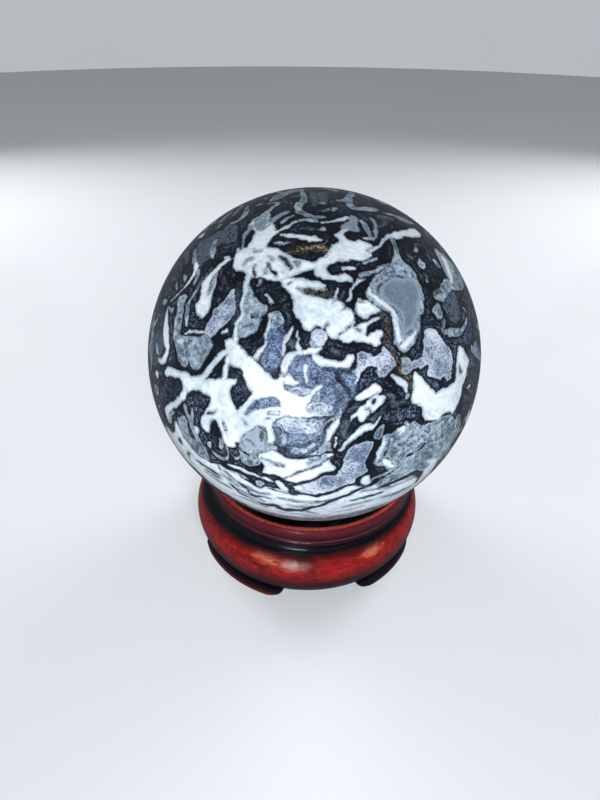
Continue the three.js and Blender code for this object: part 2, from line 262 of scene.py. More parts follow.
# ---------------------------------------------------------------- strokes of the pattern
# Each line is a tone and the places of one stroke: across,up,half width for a line drawn with a brush,
# and across,up for the outline of a filled patch. An indented line goes on with the stroke above it.
# The white patch drawn from about -12 to 4.6 across and -5 to -17.5 up lies where the lamp's highlight falls,
# and is partly a painted highlight.
STROKES = """
S -62,6 -59,7.5 -55,7 -53.5,4 -53,1 -53.5,-.5 -56,-1 -57,-3 -59,-4 -61.5,-3.5 -62.3,0
P -66.5,13,.8 -65.8,10,1.2 -64.8,6,1.8 -64.5,1,2.2 -65.3,-2,1.8 -67,-4.5,1.1
L -58.5,2.5,.8 -57,.5,.6
K -60.5,1.3,.4 -60.2,.4,.4
W -51.9,6,2.1 -51.5,4,2 -50.6,2,1.3 -50.5,.5,1.1 -51.5,-1,1.2 -53.3,-2,1 -55,-2.2,.9 -56.3,-1.8,.4
K -53.8,0,.45 -52.2,1.1,.3
W -60,-5.8,.9 -58.8,-6,1.2
P -64.5,-9.5 -62,-9.2 -59.2,-10.5 -60.5,-12.2 -63,-13.3 -65,-12
S -63,-5,.8 -61.5,-7.5,.8 -63,-9,.6
S -66,-14,.5 -62,-15,.8 -60,-16.5,.5
W -53,-6.3 -52.5,-5 -51,-4 -49.5,-3.3 -47.5,-3.8 -45.5,-4.8 -43,-5.4 -40.5,-5 -39.5,-5.8 -38.5,-6.7 -36,-6.9
  -33,-7 -33,-11.5 -35.5,-11 -37,-9.8 -38.3,-9.9 -40,-10.8 -41.5,-11.3 -42.5,-12 -43,-13.5 -44,-14 -45.2,-14
  -46.5,-15.3 -48.5,-16.3 -51,-16.8 -53,-17.5 -55.5,-18.8 -56.5,-20 -57.8,-22.3 -58.8,-21.5 -59.3,-19
  -58.8,-17 -57,-15.8 -54,-14.9 -51,-14.6 -49.3,-14.2 -48,-13.2 -46,-12.6 -44.5,-11.5 -43.3,-10 -42.8,-8.5
  -43.2,-7.6 -45,-7.2 -47,-6.6 -49,-6.7 -51,-7
S -47.2,-8,.2 -45.9,-9.5,.25 -46.5,-11.5,.2 -48.5,-12.8,.2
S -51.2,-10.5,.4 -48.5,-11,.3
S -55,-10,.3 -54.5,-13,.3
G -57.5,-21,.6 -55.5,-19.5,.8 -53,-18.3,.6 -51,-17.7,.3
W -53.5,-21.3 -52.2,-21 -51.8,-23 -51,-25 -50.3,-28 -49.3,-30.5 -47.5,-32.5 -45,-33.5 -42,-34.2 -39.5,-34.8
  -40,-37 -48,-37.5 -50.5,-35 -52,-33.2 -54.5,-32 -57,-33.5 -58,-38 -62,-40 -66,-34.5 -68,-30 -69,-25
  -66,-23 -62,-24.3 -59,-25 -57,-24.8 -55.5,-23
S -58,-27.8 -56,-26.8 -54.2,-26 -54.4,-27.8 -55.5,-29.2 -57,-28.5
S -54.3,-32 -52.5,-32.3 -50.3,-34.5 -50.8,-37 -55,-36
P -58,-38 -54,-37 -50,-38.5 -44,-37.5 -40,-36.5 -36,-37 -34,-40 -36,-44 -45,-45 -56,-43
P -50,-19.7 -48,-19.5 -46,-18.8 -45.2,-19.8 -45.5,-22.5 -46.3,-25 -45,-26.3 -43,-27 -41,-27.5 -40.3,-29.5
  -40.8,-32 -42,-33.8 -45,-33 -47.5,-32 -49.3,-30 -50.2,-27.5 -50.8,-25 -51.5,-23 -51.3,-21
S -42.3,-30.5,.3 -43,-31.5,.5 -44.5,-32,.4
P -43.8,-15,.5 -43.7,-18,.6 -43.2,-21,.8 -42.9,-24.5,1 -42.5,-26.5,1
K -45.8,-15.5,.4 -44.9,-18,.5 -44.8,-20.5,.35 -44.9,-23,.3 -45.2,-26,.5
P -40.8,-15.8,.3 -41.3,-17.5,.5 -42,-19.5,.4
S -49,-17.8,.5 -47.5,-18.5,.6
P -46.5,5.5 -45.8,3 -45,1 -44.5,-1 -43.8,-3 -42,-4 -40.5,-3.8 -39.8,-2 -38.5,-3.5 -37,-5 -35,-4.5 -33,-1
  -31,4 -35,4.5 -39,4.2 -40.5,4.7 -43,5.3
W -44.5,4,.8 -41.5,3,.6 -38,2.8,.7 -34.5,3,.8
K -39.8,-1.5,.4 -39.2,-3.5,.5 -38.5,-5,.3
S -43.5,1.5,.3 -41,1,.4
W -53.4,13.8,.4 -53,12,.8 -52.6,10,1.1 -52.3,7.5,1.7 -52,5,2
P -53.3,14,.4 -51.5,13.6,.6 -50,12.7,.7
S -50,11.5,.6 -50.2,9.5,.5
P -47.3,17 -45.5,17.3 -43.7,17 -43.8,14.8 -43,12 -43.3,10 -43,7.5 -43.2,5 -44.5,4 -47.5,4.5 -47,7 -47.2,9.5
  -46.8,12 -47.3,14.5 -48,15.8
K -46.1,16,.15 -45.3,14.5,.25 -44.9,13.2,.15
K -45.6,10.8,.15 -45.2,9,.25 -45.4,7.5,.15
P -35.8,24.5,.4 -37.5,22,.5 -39.2,19.3,.5 -40.6,16.8,.6 -41.6,14.5,.7 -41.3,12,.9 -41,9.8,.8 -41.2,8.2,.4
S -39.5,17.5,.4 -39,15.5,.5
W -41.3,5.8,.4 -39,6,.5
S -61,14,.6 -59.5,10,.6 -58.5,7,.5
G -57.9,17,.8 -56.6,16.2,1
S -51.5,36 -49.5,37.5 -46,38 -42.5,39.5 -38,40 -35,38 -36,35 -37.3,32 -38,30 -39.7,27.5 -41,25.5 -43.5,27.7
  -46,30.3 -48.5,32.5
G -39.5,35,.4 -38.2,33,.6 -37.2,30.5,.5
P -51,33.5,.4 -49.5,32.5,.7 -47.5,30,.9 -45,27.5,1
W -45,27.5,1 -43,25.3,1.2 -42.8,23.7,1.1 -43.7,21.7,.7 -45,20.2,.5 -47,19.2,.35 -49,18.1,.3
P -49,18.1,.3 -50.5,17,.4 -52.2,16.1,.35
P -41.5,24.5,.8 -40.6,23,.6 -41,21.3,.9 -41.8,20.2,.4
S -62,34,.6 -57,33,1 -54.5,31.5,1.1 -52.3,30,1 -51.3,28.8,.4
S -58,29.5,.4 -55.5,28,.5 -53.5,26.3,.4
S -58,24,.7 -55,23.5,.8
G -49.3,24.3,.5 -48,23.3,.8 -46.8,22.3,.5
G -52.3,22,.4 -51,20.5,.5 -50.3,19.8,.3
S -40,44 -36,42.5 -33,41.5 -30.5,39 -29.5,35 -31,33 -35,33.5 -38,35 -40,38
P -38,53,.4 -35.5,51,.7 -34,49,1 -33.2,46.5,1 -33.8,44.8,.9 -35.8,43.5,.5 -38.5,43.3,.4
S -31,50,.3 -30.2,47,.5
P -39.8,35.5,.8 -38.5,32.5,1 -37.5,30,.8 -36.5,28.5,.4
W -31,28.3,.6 -30,28.2,.5
W -27,27.5 -26.5,28.5 -24.5,29.5 -23.8,32 -22.8,34.5 -22.5,37 -23.8,38.2 -25.5,38.8 -27.3,39.5 -27.8,41.5
  -26.5,43.5 -24.5,45 -22.5,47 -21,46.2 -19.6,45 -18.5,43.5 -17,42.3 -16.7,40.3 -15.5,38.5 -14.8,37.3
  -14,36.8 -15,35.5 -16,33.5 -17,30.5 -15.5,30.5 -13.5,31 -12,30 -10.5,28.8 -9.5,27
P -26.5,43 -24.5,44.5 -22.3,46.3 -20.5,45.3 -18.8,43.4 -18,41 -18.5,38.5 -21,37.3 -22.5,38.3 -24.3,39.5
  -24.8,41
G -24,42 -22,43.5 -20.5,42.5 -20,40 -21.5,38.5 -23.5,39.8
P -25.8,31.3,.4 -26.3,34,.4 -26.6,37,.6 -26.2,39.5,.8
W -27.2,31,.35 -26.8,29,.6
P -22,46.5,.9 -20.7,48.3,.6 -19,50.4,.8 -18.6,51.3,.7 -20,52.3,.5 -22.5,52.2,.4 -24.5,52,.2
G -17.8,42.3,1 -16.3,44,1 -14.3,45.3,.8 -12.3,45.8,.4
L -13.5,41.2,.6 -11.5,42.3,.5 -9.3,43.4,.3
W -16,35.8,1 -13.5,37.4,.6 -11,38.9,.5 -9,40.6,.5 -7.2,41.4,.5
P -7.2,41.4,.55 -4.8,41.6,.5 -3.3,41.3,1 -1,41.1,.6
P -10,66,.7 -10,62,.6 -8.5,59,.8 -6.6,56,.8 -6.2,54,.8 -7.5,51.5,1.1 -8.5,49.5,1.2 -8,47,1.2 -6.5,45,.8
  -4,43.6,.7 0,42.6,.6 2.5,42.6,.4
P -10.5,65,1 -13.5,65.5,1.5 -17,63.5,1.8 -20,61,2 -22.5,58,2 -24.5,55,.8
W -12.8,34.9 -11,36 -9,35.8 -6.5,35 -3,34.8 -1.5,34.3 -.5,33 -1.3,31.8 -3.5,31.6 -5.5,33 -7.5,34 -10,34.6
P -13.7,32.6,.4 -11.5,32.4,.7 -9,32.2,.4
S -6,38,.4 -3,37.6,.5 0,36.5,.8
S -18.5,54.3,.4 -16.5,53,.6 -14.8,51.5,.5
S -14.5,57,.8 -10,57,.8
S -2.3,60,1 -2.2,55,1 -1.8,50,.8
W 2,27 4,29.3 6.2,29.8 6.6,32 6.7,34.5 5,34.9 4.8,35.3 7,36.2 9,38 10.5,38.7 12.5,38.3 10.3,37.3 9.3,36
  9.7,34.6 10.5,33 11.5,32.8 13,33.5 14.7,33.3 15,31.5 15.3,30.2 17,29.4 16,27 8,26
W 15,29.3 17,30.6 19,32 21,33.4 23.5,35 25.5,36.8 27.5,38.4 30,39.3 33,39.6 36,40 38.5,40.8 41,41.8 46,42.5
  46,38.5 41,38 38,37.3 35,37 33,36.5 31,35.4 28.5,35 27.3,35.6 25,34.9 23,33.4 21,31.8 19,30.3 17,29.2
P 27,35.5,.5 26.8,33,.45 26.4,30.5,.8 25.9,27.5,.9
G 11.5,42.8 13,43 14.5,44.5 16,43.5 15.3,41 15,38.5 14.5,37 12.5,37.3 11,38.3 9,38 7.5,38.5 9,39.8 11.5,40.5
  12.3,41.5
W 1,40.2,.5 4,40.3,.5 7,41,.6 9.5,42,.8 11.5,42.7,.8
P 16.8,42,.5 17.6,40.5,.6 17.9,38,.7 17.5,35,.7
L 15.5,34.3,.5 17.5,34.4,.6 19.5,35,.3
G 20.4,35.3,.4 21.6,37.8,.7 22.3,40.5,.7 21.8,44,.5
S 22.5,38.5,.3 25,41,.6 29,43,.7
S 24,44.5 26,44 30,44 35,44.3 34,46 30,46.3 26,46.8
P 28,66,.5 24,61.5,.9 20,58.3,1.1 17,56,1.5 15.2,53,1.3 14.8,50.5,1.2 16.5,48.4,1 20,48.3,.9 24,49.3,1.4
  26.5,49.7,1 28.5,50,.5
P 11,53.3,.8 13.5,53.5,1
P 31.5,48.3,.4 34,47.6,.8 37,47.3,.9 41,47,1.3 47,45.5,1
S 0,60 2.5,61 6,60 7,57 6,54 3.5,50.5 1,50.5 0,54
G 1.2,51,.6 2.2,50.8,.6
G 7.4,48,.5 6.8,46.7,.6
S 8.5,46.5,.3 10.5,46.2,.4
L 0,38 2.3,38 2.6,36.5 1.5,35.7 0,35.7
P -1,42.6,.5 2,42.6,.5
G 34.5,31.3 36,33.5 37.3,33.4 36.3,31.2
S 37,34.3,.4 40,34.7,.5
S 31,30,.4 32,28.6,.5
P 47.5,30 47.5,26 48,24 46.5,23 44.5,22.4 42.5,21.5 41,20.5 40,19.2 38.3,18.5 37,17.3 37.3,16 39,15.6 41,16
  43,17.2 45,18.8 47.5,20 50,20.3 54,20.3 57,21 60,22.5 63,24 66,25.5 66,29 60,31 54,34 50,35 48,33
W 52,31,1.6 51,27,1.6 50,24,1.2 48,22.5,.7
P 44.3,28.8,.9 44.8,27.2,1
P 35.8,23,.7 35.5,21.5,.6
S 41,15.5 43,17 45.5,19 48,19.7 49.8,18.5 49.5,14 48.5,11 46,9.5 43,9.8 41,11.5 40.5,13.5
P 35,13.3 37,14.5 38.7,14.8 39.3,13 39.3,11.5 38.3,10.3 36.5,10.7 35,11.8
P 39.5,9.8,.5 39,8,.9 38.5,7,.3
P 39.5,6.2,.4 42,6.5,.8 45,6.8,.9 48.5,7.6,.7 50.5,8.5,.6 52,9.7,.6 53.6,11.6,.6
S 55.3,6,.8 56.3,9,.7 57.2,12,.7 58.5,14.8,.7 60.5,17,.6 63,18.5,.4
P 54,3.3 57,3.5 58.5,5 61,5 62,3 65,1.5 69,.5 69,-1.5 64,-.8 61,0 58,1 55,1.5
S 55.5,-4.5,.8 57.5,-4.8,.6
S 56,-6.5,.5 58.5,-8.2,.6 62,-9,.4
W 46,2.8 47.5,3.3 49,2.3 50.5,.9 52,-.2 53.5,-.6 53.3,-2.3 52,-3.8 51.8,-5.5 51.3,-7.5 50.5,-8.5 50.7,-11
  49.8,-14 49.5,-17.5 47,-17.5 45.5,-16.5 43,-17.2 40.5,-18 38.5,-19.2 36.5,-19 35,-18.3 33,-16.5 36,-10
  40.7,-9.2 42.5,-8.5 44,-8 45.3,-7.2 45.8,-5 45.4,-2 45.6,1
S 46.9,-3.2,.4 48,-4.8,.6
L 34.5,8 36,6.8 37.3,5 39,3.9 40.5,2.2 42.5,1.2 42.8,-1 43.2,-4 43.5,-6.3 42.3,-7 41,-6.8 39.5,-5.8
  37.5,-6.8 35,-6.2 33,-5.5 32,0 33,5
S 53,-11.5,.5 57,-13,.7 61,-13.5,.5
S 52,-14,.3 54,-13.5,.6
P 35,-20 39,-19.8 41,-18 45,-17.3 49.5,-18 51,-19.5 53,-17.5 56,-19 60,-22 61,-26 59,-29.5 62,-31 60,-34
  56,-36.5 53,-39 50,-39 46,-37.3 42.5,-36.8 39,-38 35,-39.3
W 48.2,-18.5,.6 48,-22,.7 48.8,-25,.5 50.5,-28,.3
W 35,-38,.8 39,-36.8,1 44,-35.8,1 48,-35.5,1 52,-34,.9 56,-33.5,.6
S 41.2,-23.8,.4 42.2,-23.3,.3
S 44,-24.5,.4 45.5,-25.2,.5
S 47.5,-30.5,.5 49.5,-30.6,.5
S 51,-21,.5 55,-23.5,.4
S 41,-32,.3 43.5,-32.5,.5 45.8,-34,.4
K 38.4,-26.9,.4 37.3,-28.3,.35 36.4,-29.5,.3
S 37,-22.5,.3 39.5,-22,.5
W -27.5,31 -27.2,25.6 -27,24.3 -25.5,23.4 -23.5,23.2 -22,22.2 -19.5,21 -17,20.3 -13,20 -10,20.2 -8,21 -4,22
  0,23 2,26 4,29 0,31 -12,31.5 -18,31
K -12.7,30 -11.2,28.8 -10,28.2 -8.5,27.3 -7,26.4 -5,25.7 -3,25.4 -1,25.4 .6,25.8 1.5,26.7 2.2,28 3.3,29
  5,29.7 6.2,30 6.5,31.5 6.5,34 5.5,36 0,37 -8,37 -13,36.3 -14.8,35 -16.4,32 -17.2,30.3 -15.5,30.6 -14.3,31
W -12.7,35.2,.4 -10.5,35.4,.8 -7.5,34.9,.8 -4.5,33.9,1 -1.5,33.1,1 .8,33,.7
P -14,32.2,.4 -12.5,32.5,.45 -10,32.3,.25
P -23.3,25.2,.35 -22.3,26.3,.5 -20.8,27.6,.35
P -20.6,29.9,.4 -18.5,29.6,.3
P -15,27.5,.3 -14,26.6,.5
P -15.8,23.4,.4 -15.2,22,.5
P -6.2,24.7,.5 -7.3,25.3,.3
K -19.1,23,.4 -18.7,22,.55 -18.3,21.4,.3
S -19.6,24.6,.3 -19.3,24,.3
S -15.7,25.3,.3 -15.2,24.6,.4
K -12.2,27.5,.3 -11,26.7,.6 -9.7,26,.6 -9.1,24.8,.5 -8.3,23.8,.3
K -14.7,24.1,.3 -13.9,22.8,.4 -12.6,22.4,.55 -12,21.7,.4
W -29,28.2 -30.2,28.6 -33,26 -35.5,23.5 -37.3,21 -38,18 -37,15.7 -38.6,13.8 -37.5,11.8 -34.7,9.7 -33,11
  -31.9,13 -32.2,17 -31.2,20.5 -31.8,22.8 -32.5,23.5 -31,25.8 -29,27.3
P -32.6,22.8,.7 -33.3,19.5,.8 -34,16.5,.4
K -33.3,22,.15 -34.4,18.3,.3 -34.7,17.3,.1
S -35.5,25,.4 -37.5,21.8,.5 -40,19,.5
L -25,17.8 -26.2,16.5 -27,14.5 -29,13.2 -30.3,12 -31.2,10 -32.4,8.5 -32.7,6.5 -32.8,4.5 -31.5,3.8 -30,5.3
  -28,7.3 -26,8 -24.8,9 -24,10.8 -23.9,12.5 -24.3,15 -24.7,17.4
W -27,5.4,.5 -25.4,6.2,.6
W -40,6,.5 -35,6,.5 -33,5.9,.35
P -42,4 -36,3.7 -34,4.3 -32.5,5 -31,4.5 -30,3 -30.8,1 -32,-.5 -33.5,-2 -34.8,-4 -36,-5 -37.5,-4.7 -38.8,-3.5
  -39,-2 -41,0
S -24.4,20,.12 -23.5,15,.15 -23,11.5,.2 -23.6,8,.2
S -23.2,20,.08 -22.7,14,.12
S -29.1,21.3,.45 -28.8,20.3,.35
S -29.6,18.6,.3 -29.2,18,.2
S -29.5,15.2,.3 -29,14.5,.2
P -21,18.5 -19.5,17.5 -18.5,16 -17,14.5 -15.5,13.5 -14,12.8 -13.5,11.5 -14,10 -15,9.5 -16.2,7.5 -16.3,6.5
  -17.5,5.3 -19.5,4.3 -20.5,4.5 -22,4
S -18.4,10.2,.45 -18.2,9.7,.5 -17.2,9.1,.15
W -20.7,22.5,1 -21.2,20,.8 -21.4,15,.6 -21.4,11.5,.6 -22.2,8,.65 -22.8,4.5,.7 -22.8,2,1
W -26.5,3.5 -25.5,4.2 -22.5,3.2 -20.5,1.5 -18.5,-.8 -16,-3 -13.5,-5 -12,-7.3 -10.5,-6.5 -10.3,-3 -9.7,-.5
  -8,.3 -5,.9 -2,1.3 1,3 1,0 -1.5,-.4 -4,-.2 -6,-2 -8,-4 -8.5,-6 -8,-8 -8,-11 -18.7,-11 -19,-8 -20.5,-6
  -21.3,-4.2 -22.5,-3.6 -24.2,-3.5 -25,-1.5
W -25.5,1,1 -27.5,-.3,.7 -30,-3,.75 -32,-5,.9 -34,-6.7,1.1 -36.5,-8,1.3 -40,-8,1.8
W -25,-1,.9 -25.3,-3.5,.7 -26,-6,.8 -27,-8.5,1
W -40,-6.5 -36,-7 -33.5,-7.5 -31,-7 -29,-7.5 -27,-7 -24.8,-7 -22.5,-7 -22.8,-8.5 -24,-11 -40,-11
S -23.4,-6,.5 -22.2,-6.3,.45
W -15,16,.35 -14,14.9,.5 -12.9,13.9,.5
P -17.6,18.6,.25 -16.2,19.6,.45
S -10.4,14,.35 -9,15,.35
P -13.2,10.5 -11,11.2 -9.5,10.6 -8.7,9 -9.5,7.8 -11.5,6.8 -13,6.5
V -12.9,6.6 -11,6.6 -9.5,7.6 -8.5,6 -9.2,3 -9.8,0 -10.5,-2.5 -12,-5.3 -13.5,-4.8 -15.3,-3.3 -15.3,-1 -14,1
  -13.3,3.5
W -13,10,.4 -13.3,7,.45 -13.8,4,.4 -14.6,2,.5 -15.6,.4,.7 -16.4,-1.2,.8
W -9.6,0,.5 -9,2,.5 -8.4,3.8,.7 -7.6,5,.6 -7,6.8,.35
S -6.6,2.3,1.1 -6.6,3.2,.6
W -5,1,.6 -5,3,.4 -5.3,5,.25
P -1.2,2.5,.9 -.8,4.5,.7 0,5.5,.8
W -11,20 -10.3,18.3 -8.5,16.5 -6.8,14.8 -6.6,12 -6.5,10.3 -5.2,8.3 -4,6.5 -2.5,5.4 -1.5,5.8 -1,7.2 1,8.5 5,8
  8,13 4,15 0,14.8 -3,15.6 -4.8,17.6 -1,17.2 2,17.5 2,19 -2,19.3 -5.5,20.8 -9,21.5
K -5.5,21.6,.2 -3,20.8,.65 0,19.8,.7 3,19,.6
S -8.4,18.9,.3 -7.7,19.2,.2
K -4.8,17.1,.25 -2.5,16.5,.6 0,16.2,.8 1.5,16.3,.5
W -1,26 2,27 3.5,29.5 4,33 19,33 16.5,30 13,28 10,26.6 8,25.8 5,25.2 3,24.3 2,23.5 1.8,22.2 3,21.6 5,21.7
  7.5,22.4 9,21.6 10.2,20 9,19.6 0,20 -2,21
L 13.9,25.8,.45 15.5,26.4,.55 17.6,26.7,.5
W 7.3,23.8,.35 8.8,23.8,.7 10.6,23.6,.4
P 12.2,21.5,.5 14,22,.45 17,23,.45 19.5,24.2,.6 22,25.3,.7
P 25.6,32 26.8,32 27.6,28 29,26.2 31.6,23.2 30.6,22.3 31.6,21 32.4,18 32.4,15 31.9,12.5 30.5,10.5 29.5,8.5
  28.8,6 27.5,3.5 26,1.5 24.5,.7 23,1 21.3,2.5 20.6,4 20.4,6 21,8.5 20.8,10 19.5,11.5 17.5,11.8 16.3,12.7
  15.3,14 14,14.5 13.7,16.5 14.5,18.7 16,20.7 18,22.2 20,23.6 22,25.5 24,27 25,29
W 14.8,17.8,.6 14.9,15.9,.8 16.6,14.3,.9 19,13.2,.9 21,12,.9 22,9.5,1 22,6.5,1.1 22,4,1 24,2.2,1 25.8,3.6,1
  27.6,6,.6
P 15.4,18.5,.8 17.5,20.8,.7 20,22.3,.7
G 16.5,19.2 18.5,20.5 21,21.6 24,22.4 27,22.2 29.9,21.2 31.2,20 31.3,17 30.8,14 29.8,11.5 28.5,9 27,6.8
  25.2,5 24.3,5.5 23.8,8 23.5,10.5 22.3,12.3 20.5,13.8 18,15 17,16 16.3,17.5
S 17,17,.5 17.4,18.8,.5 20,20.8,.25 23,21.9,.4 26,22.2,.6 29,21.8,.3
K 22.6,2.7,.1 26,6,.12 29,9,.14 31,11,.2 33,12.6,.4
W 11,14.8 12,15.1 12.5,14.4 13.8,14.4 15,13.4 16,12.5 17.1,11.6 16.2,11.2 15,11 13.5,10.4 12,10 11,10.6
  10.4,12 10.5,13.7
K 11.3,14,.1 12.6,13.8,.1
W 13.4,20.4,.3 11.5,20,.6 10.2,19.2,.6 9.4,18,.5 9.1,16.5,.55 8.3,15,.6 7.3,13.9,.3
L 5,17,.25 4.3,15,.4 3.7,13.6,.3
S 3.4,18.2,.15 3,15.4,.3
S 7.3,17.5,.12 5.8,14.6,.15
W -1.5,17.7,.4 .5,17.3,.35 1.9,17.3,.2
W -2,15.5 1,14.9 2.5,13.2 4.2,12.6 5.2,10.3 6.4,11.9 8.4,12.4 9.7,11.2 9.9,8.6 9.8,7 10.8,8.3 12.5,8.9
  14.5,9.7 16.8,10.6 17.4,10.3 16.5,9.5 14.5,8.5 13.3,7.3 12.8,6 12.4,4.7 13.5,4.7 15,5.8 17,6.1 17.6,5.2
  17,3.8 16,2.2 15.2,1.9 14.5,2.8 13,3 11,2.7 9.5,3 8.2,2.5 6.8,3.4 5.3,4 3.6,3.7 2.4,4.6 1.8,5.8 0,7 -2,7
K 10.2,6.5,.1 10.9,5.9,.35 11.3,5.4,.1
L 5,4.6,.1 6.5,5.8,.15 8.9,7.9,.15
S 2.3,7.4,.4 1.6,6.7,.3
L -.5,6.8 1.5,6 2.3,4.5 2.5,3.7 1,2 -1,2 -2,4
K 1.4,2.4 2.5,3.6 4.5,3.9 6.5,3.3 8.5,2.5 9,1 9,-.3 7.5,-.8 6.5,-1.8 5,-1.6 3,-.8 1,-.2 -.3,.2 .8,1.2
S 3.6,1.2,.8 5.2,.6,.7
W -1.5,.2 0,-.4 2.5,-1.1 5,-1.8 7,-1.8 7.5,-.8 8.9,-.4 9.4,-1.5 9.1,-3 8,-3.9 6,-3.9 3,-3.4 0,-3 -1.5,-2.8
L 10,0 13.6,.1 14.7,-1 15.7,-.6 16.5,.6 17.3,2.2 18,2.2 18.8,.6 19.9,-.2 20.6,-2 21.5,-3.3 20.3,-4.5 19.2,-5
  18.3,-6.4 17.3,-6.5 16.2,-5.2 16.4,-4 15.6,-3.1 14.5,-2.8 13,-3.6 11.5,-5.5 10.2,-7.5 9,-9.2 8.2,-9.4
  7.2,-7.8 6,-6.2 7,-5.6 9,-5.1 10.1,-4.3 10.6,-3 10.4,-1.5
S 14.3,-2.6,.1 15.6,-1.4,.15 17,0,.1
W 20.8,-5.6,.6 23,-6.8,.9 25,-8.5,.8 25.8,-10,.3
P 22.3,-1 24.5,-.6 26.5,-1.4 26.2,-3 25,-3.8 23.8,-3.4 22.6,-2.3
L 33.5,7.7 35,8 36,6.7 37,5 38.5,4 40,3 42.5,0 43.5,-4 42,-6.5 39,-6 37,-6 35.5,-6.4 34.8,-5 33.5,-3.6
  32,-2.6 30.5,-3.2 28.5,-3.2 27,-4 25.8,-5 24.3,-4.9 23.3,-4.2 24.5,-3.4 26,-3.1 26.5,-1.9 28,-1.1 29.8,-.9
  30.4,.5 31.1,2 31,4.5 31.2,6 32,7.2
S 31,6.8,.12 32.3,8.3,.15 34.8,8.7,.1
S 28.6,1.5,.2 29.5,4,.3 29.7,7,.2
P 35,13.3 37,14.1 39,15 39.8,13 38.8,11.3 37,11 35.7,11.8
S 39.5,9.8,.6 38.7,8,.5
S 37.5,17.2,.6 40,18.7,.9
S 34.9,24,.4 36,22.2,.5
W -40,-6.5 -36,-7 -33.5,-7.5 -31,-7.2 -29,-7.8 -27,-7.4 -24.8,-7 -22.3,-7 -18.3,-9 -16,-7 -12,-7 -8,-7
  -7,-12 -7,-17 -9,-17.5 -11,-18.2 -12,-19.5 -12.8,-22 -13.2,-25.5 -15.1,-25.7 -15.3,-24 -15.2,-21 -15.9,-20
  -18,-20.3 -20,-21.5 -22,-22.4 -23.5,-24 -25,-25.6 -26.3,-26.8 -27.5,-27.8 -29.8,-27.6 -31,-26.4 -30.8,-24
  -31,-21.3 -31,-19.5 -32,-18.7 -33.4,-19.6 -34.6,-21.5 -36,-23.1 -37.1,-23 -38.2,-21.5 -38.1,-20 -37,-18.2
  -35.5,-17.5 -34.3,-15.7 -32.7,-14.7 -31.8,-13.2 -32.4,-11.8 -35,-11.4 -36.2,-9.8 -38.5,-9.8 -41,-11
K -24.2,-3.5 -22.5,-3.6 -21.2,-4.2 -20.4,-6 -19.4,-8 -18.6,-10 -18.7,-11.6 -20.5,-12.7 -22.5,-14.7 -23.5,-16
  -24.2,-15 -24.4,-13 -25.2,-11 -24.5,-9.2 -22.4,-8.3 -22.2,-7 -24,-6.8 -25.2,-6.5 -24.6,-5
S -23.4,-6,.5 -22.2,-6.3,.45
S -23.4,-12.3,.3 -22.4,-11.5,.45 -21.4,-11.4,.2
S -20.3,-9,.3 -20.2,-10.8,.45
P -22,-18.6,.3 -21.5,-19.5,.4
L -28.8,-19.8,.25 -28.7,-22.2,.4
S -15.2,-18.3,.1 -14,-18.2,.25 -13,-18.4,.15
K -34.8,-17.7,.25 -32.8,-17,.3 -30.2,-15.9,.1
L -13.2,-16.3,.5 -11.4,-16.4,.6
S -38.5,-12.8,.3 -38,-14.5,.45
S -37,-13.6,.3 -36.4,-14,.3
L -38.8,-26.5 -36.1,-26.1 -36.7,-27.6 -37.4,-29.2
P -37.3,-30.3,.4 -35.2,-32,.8 -33,-32.3,.8 -30.8,-31.3,.6 -30.4,-29,.35 -30.9,-27.5,.3
P -33.2,-27.6,.5 -31.6,-25.3,.4
S -35.2,-29.5,.5 -33.2,-29.7,.7 -32.2,-28.6,.4
P -23.5,-23.8 -22,-22.3 -20,-21.5 -18,-20.4 -15.6,-20.2 -15.3,-22 -15.3,-25.7 -13.2,-25.8 -12.3,-27.5
  -15,-28 -18.5,-29 -19.8,-30.5 -18.7,-32.5 -20,-33 -22,-34.2 -25,-33.3 -26.5,-31.5 -25.5,-29.5 -25.7,-27
  -24.5,-25.5
K -25.8,-26.6,.6 -24.6,-28.3,.6 -22.6,-29.6,.4 -21.8,-30.2,.2
L -29.3,-29.5,.2 -28,-31.8,.35 -27,-31,.3
W 6,-17,.4 5.6,-19,.8 4.1,-21.3,.6 3.1,-24,.55 2.1,-26.4,.5 0,-28.4,.4 -1.5,-29,.2
P 2.9,-26,.5 4.8,-27.1,.2
W 9.6,-11 10.4,-12.2 12,-12.5 13.5,-12.3 15.5,-11.2 17,-10 17.2,-8.7 16,-7.8 14.5,-8.1 13,-8.9 11.5,-9.8
W 9.1,-17 9.3,-18.6 10.5,-18 11.5,-17 12.4,-18.4 13.5,-18.9 14.5,-17.4 14.9,-15.9 13.9,-15 15,-15.6
  16.1,-15.1 18.1,-13.5 19,-12 17.9,-10.6 16.5,-10.7 15,-11.9 13,-13.6 11,-15.2
K 15.8,-12.7,.3 15.4,-13.4,.35
K 13.4,-15,.15 14.9,-15.1,.35
W 7.4,-27.2,.2 9,-25.2,.35 10.6,-23.2,.8 13,-21.6,1 15.5,-20.1,.95 17.8,-18.8,.35 18.9,-17.3,.1
L 17,-24.5 18,-26 17.1,-28 16.6,-30 17,-32 18,-34.5 18.4,-36 16.5,-36.8 15,-38 15,-39.5 14,-40.3 12,-40.6
  10,-41.4 8,-42.8 6,-43.9 4,-44.9 0,-45.1 -3,-44.5 -3.5,-43 -2,-40 0,-38.5 2,-37.3 4.5,-36.7 7,-36.8
  8.6,-35.5 8.9,-32.5 9,-30.5 9.7,-28 10.5,-26.4 12.5,-25.2 15,-24.4
S 1,-39,.4 3,-42.3,.6
S 5.3,-38.3,.3 6.3,-39.5,.5
P 16.8,-22.8 18.5,-23.8 20.2,-23.5 20.7,-22 20.7,-20 19.9,-19.2 18.3,-21
P 20.4,-24 22,-23.1 24,-22.7 24.9,-21 26,-19.9 27,-18.3 29,-18.8 31,-18.6 33,-19.8 36,-20.2 40,-20.2 46,-19
  52,-22 52,-34 46,-35 40,-37.2 37,-38.2 34,-39.2 30,-40.8 27.5,-41.7 24,-41.6 23,-41 25,-39.6 27,-38.2
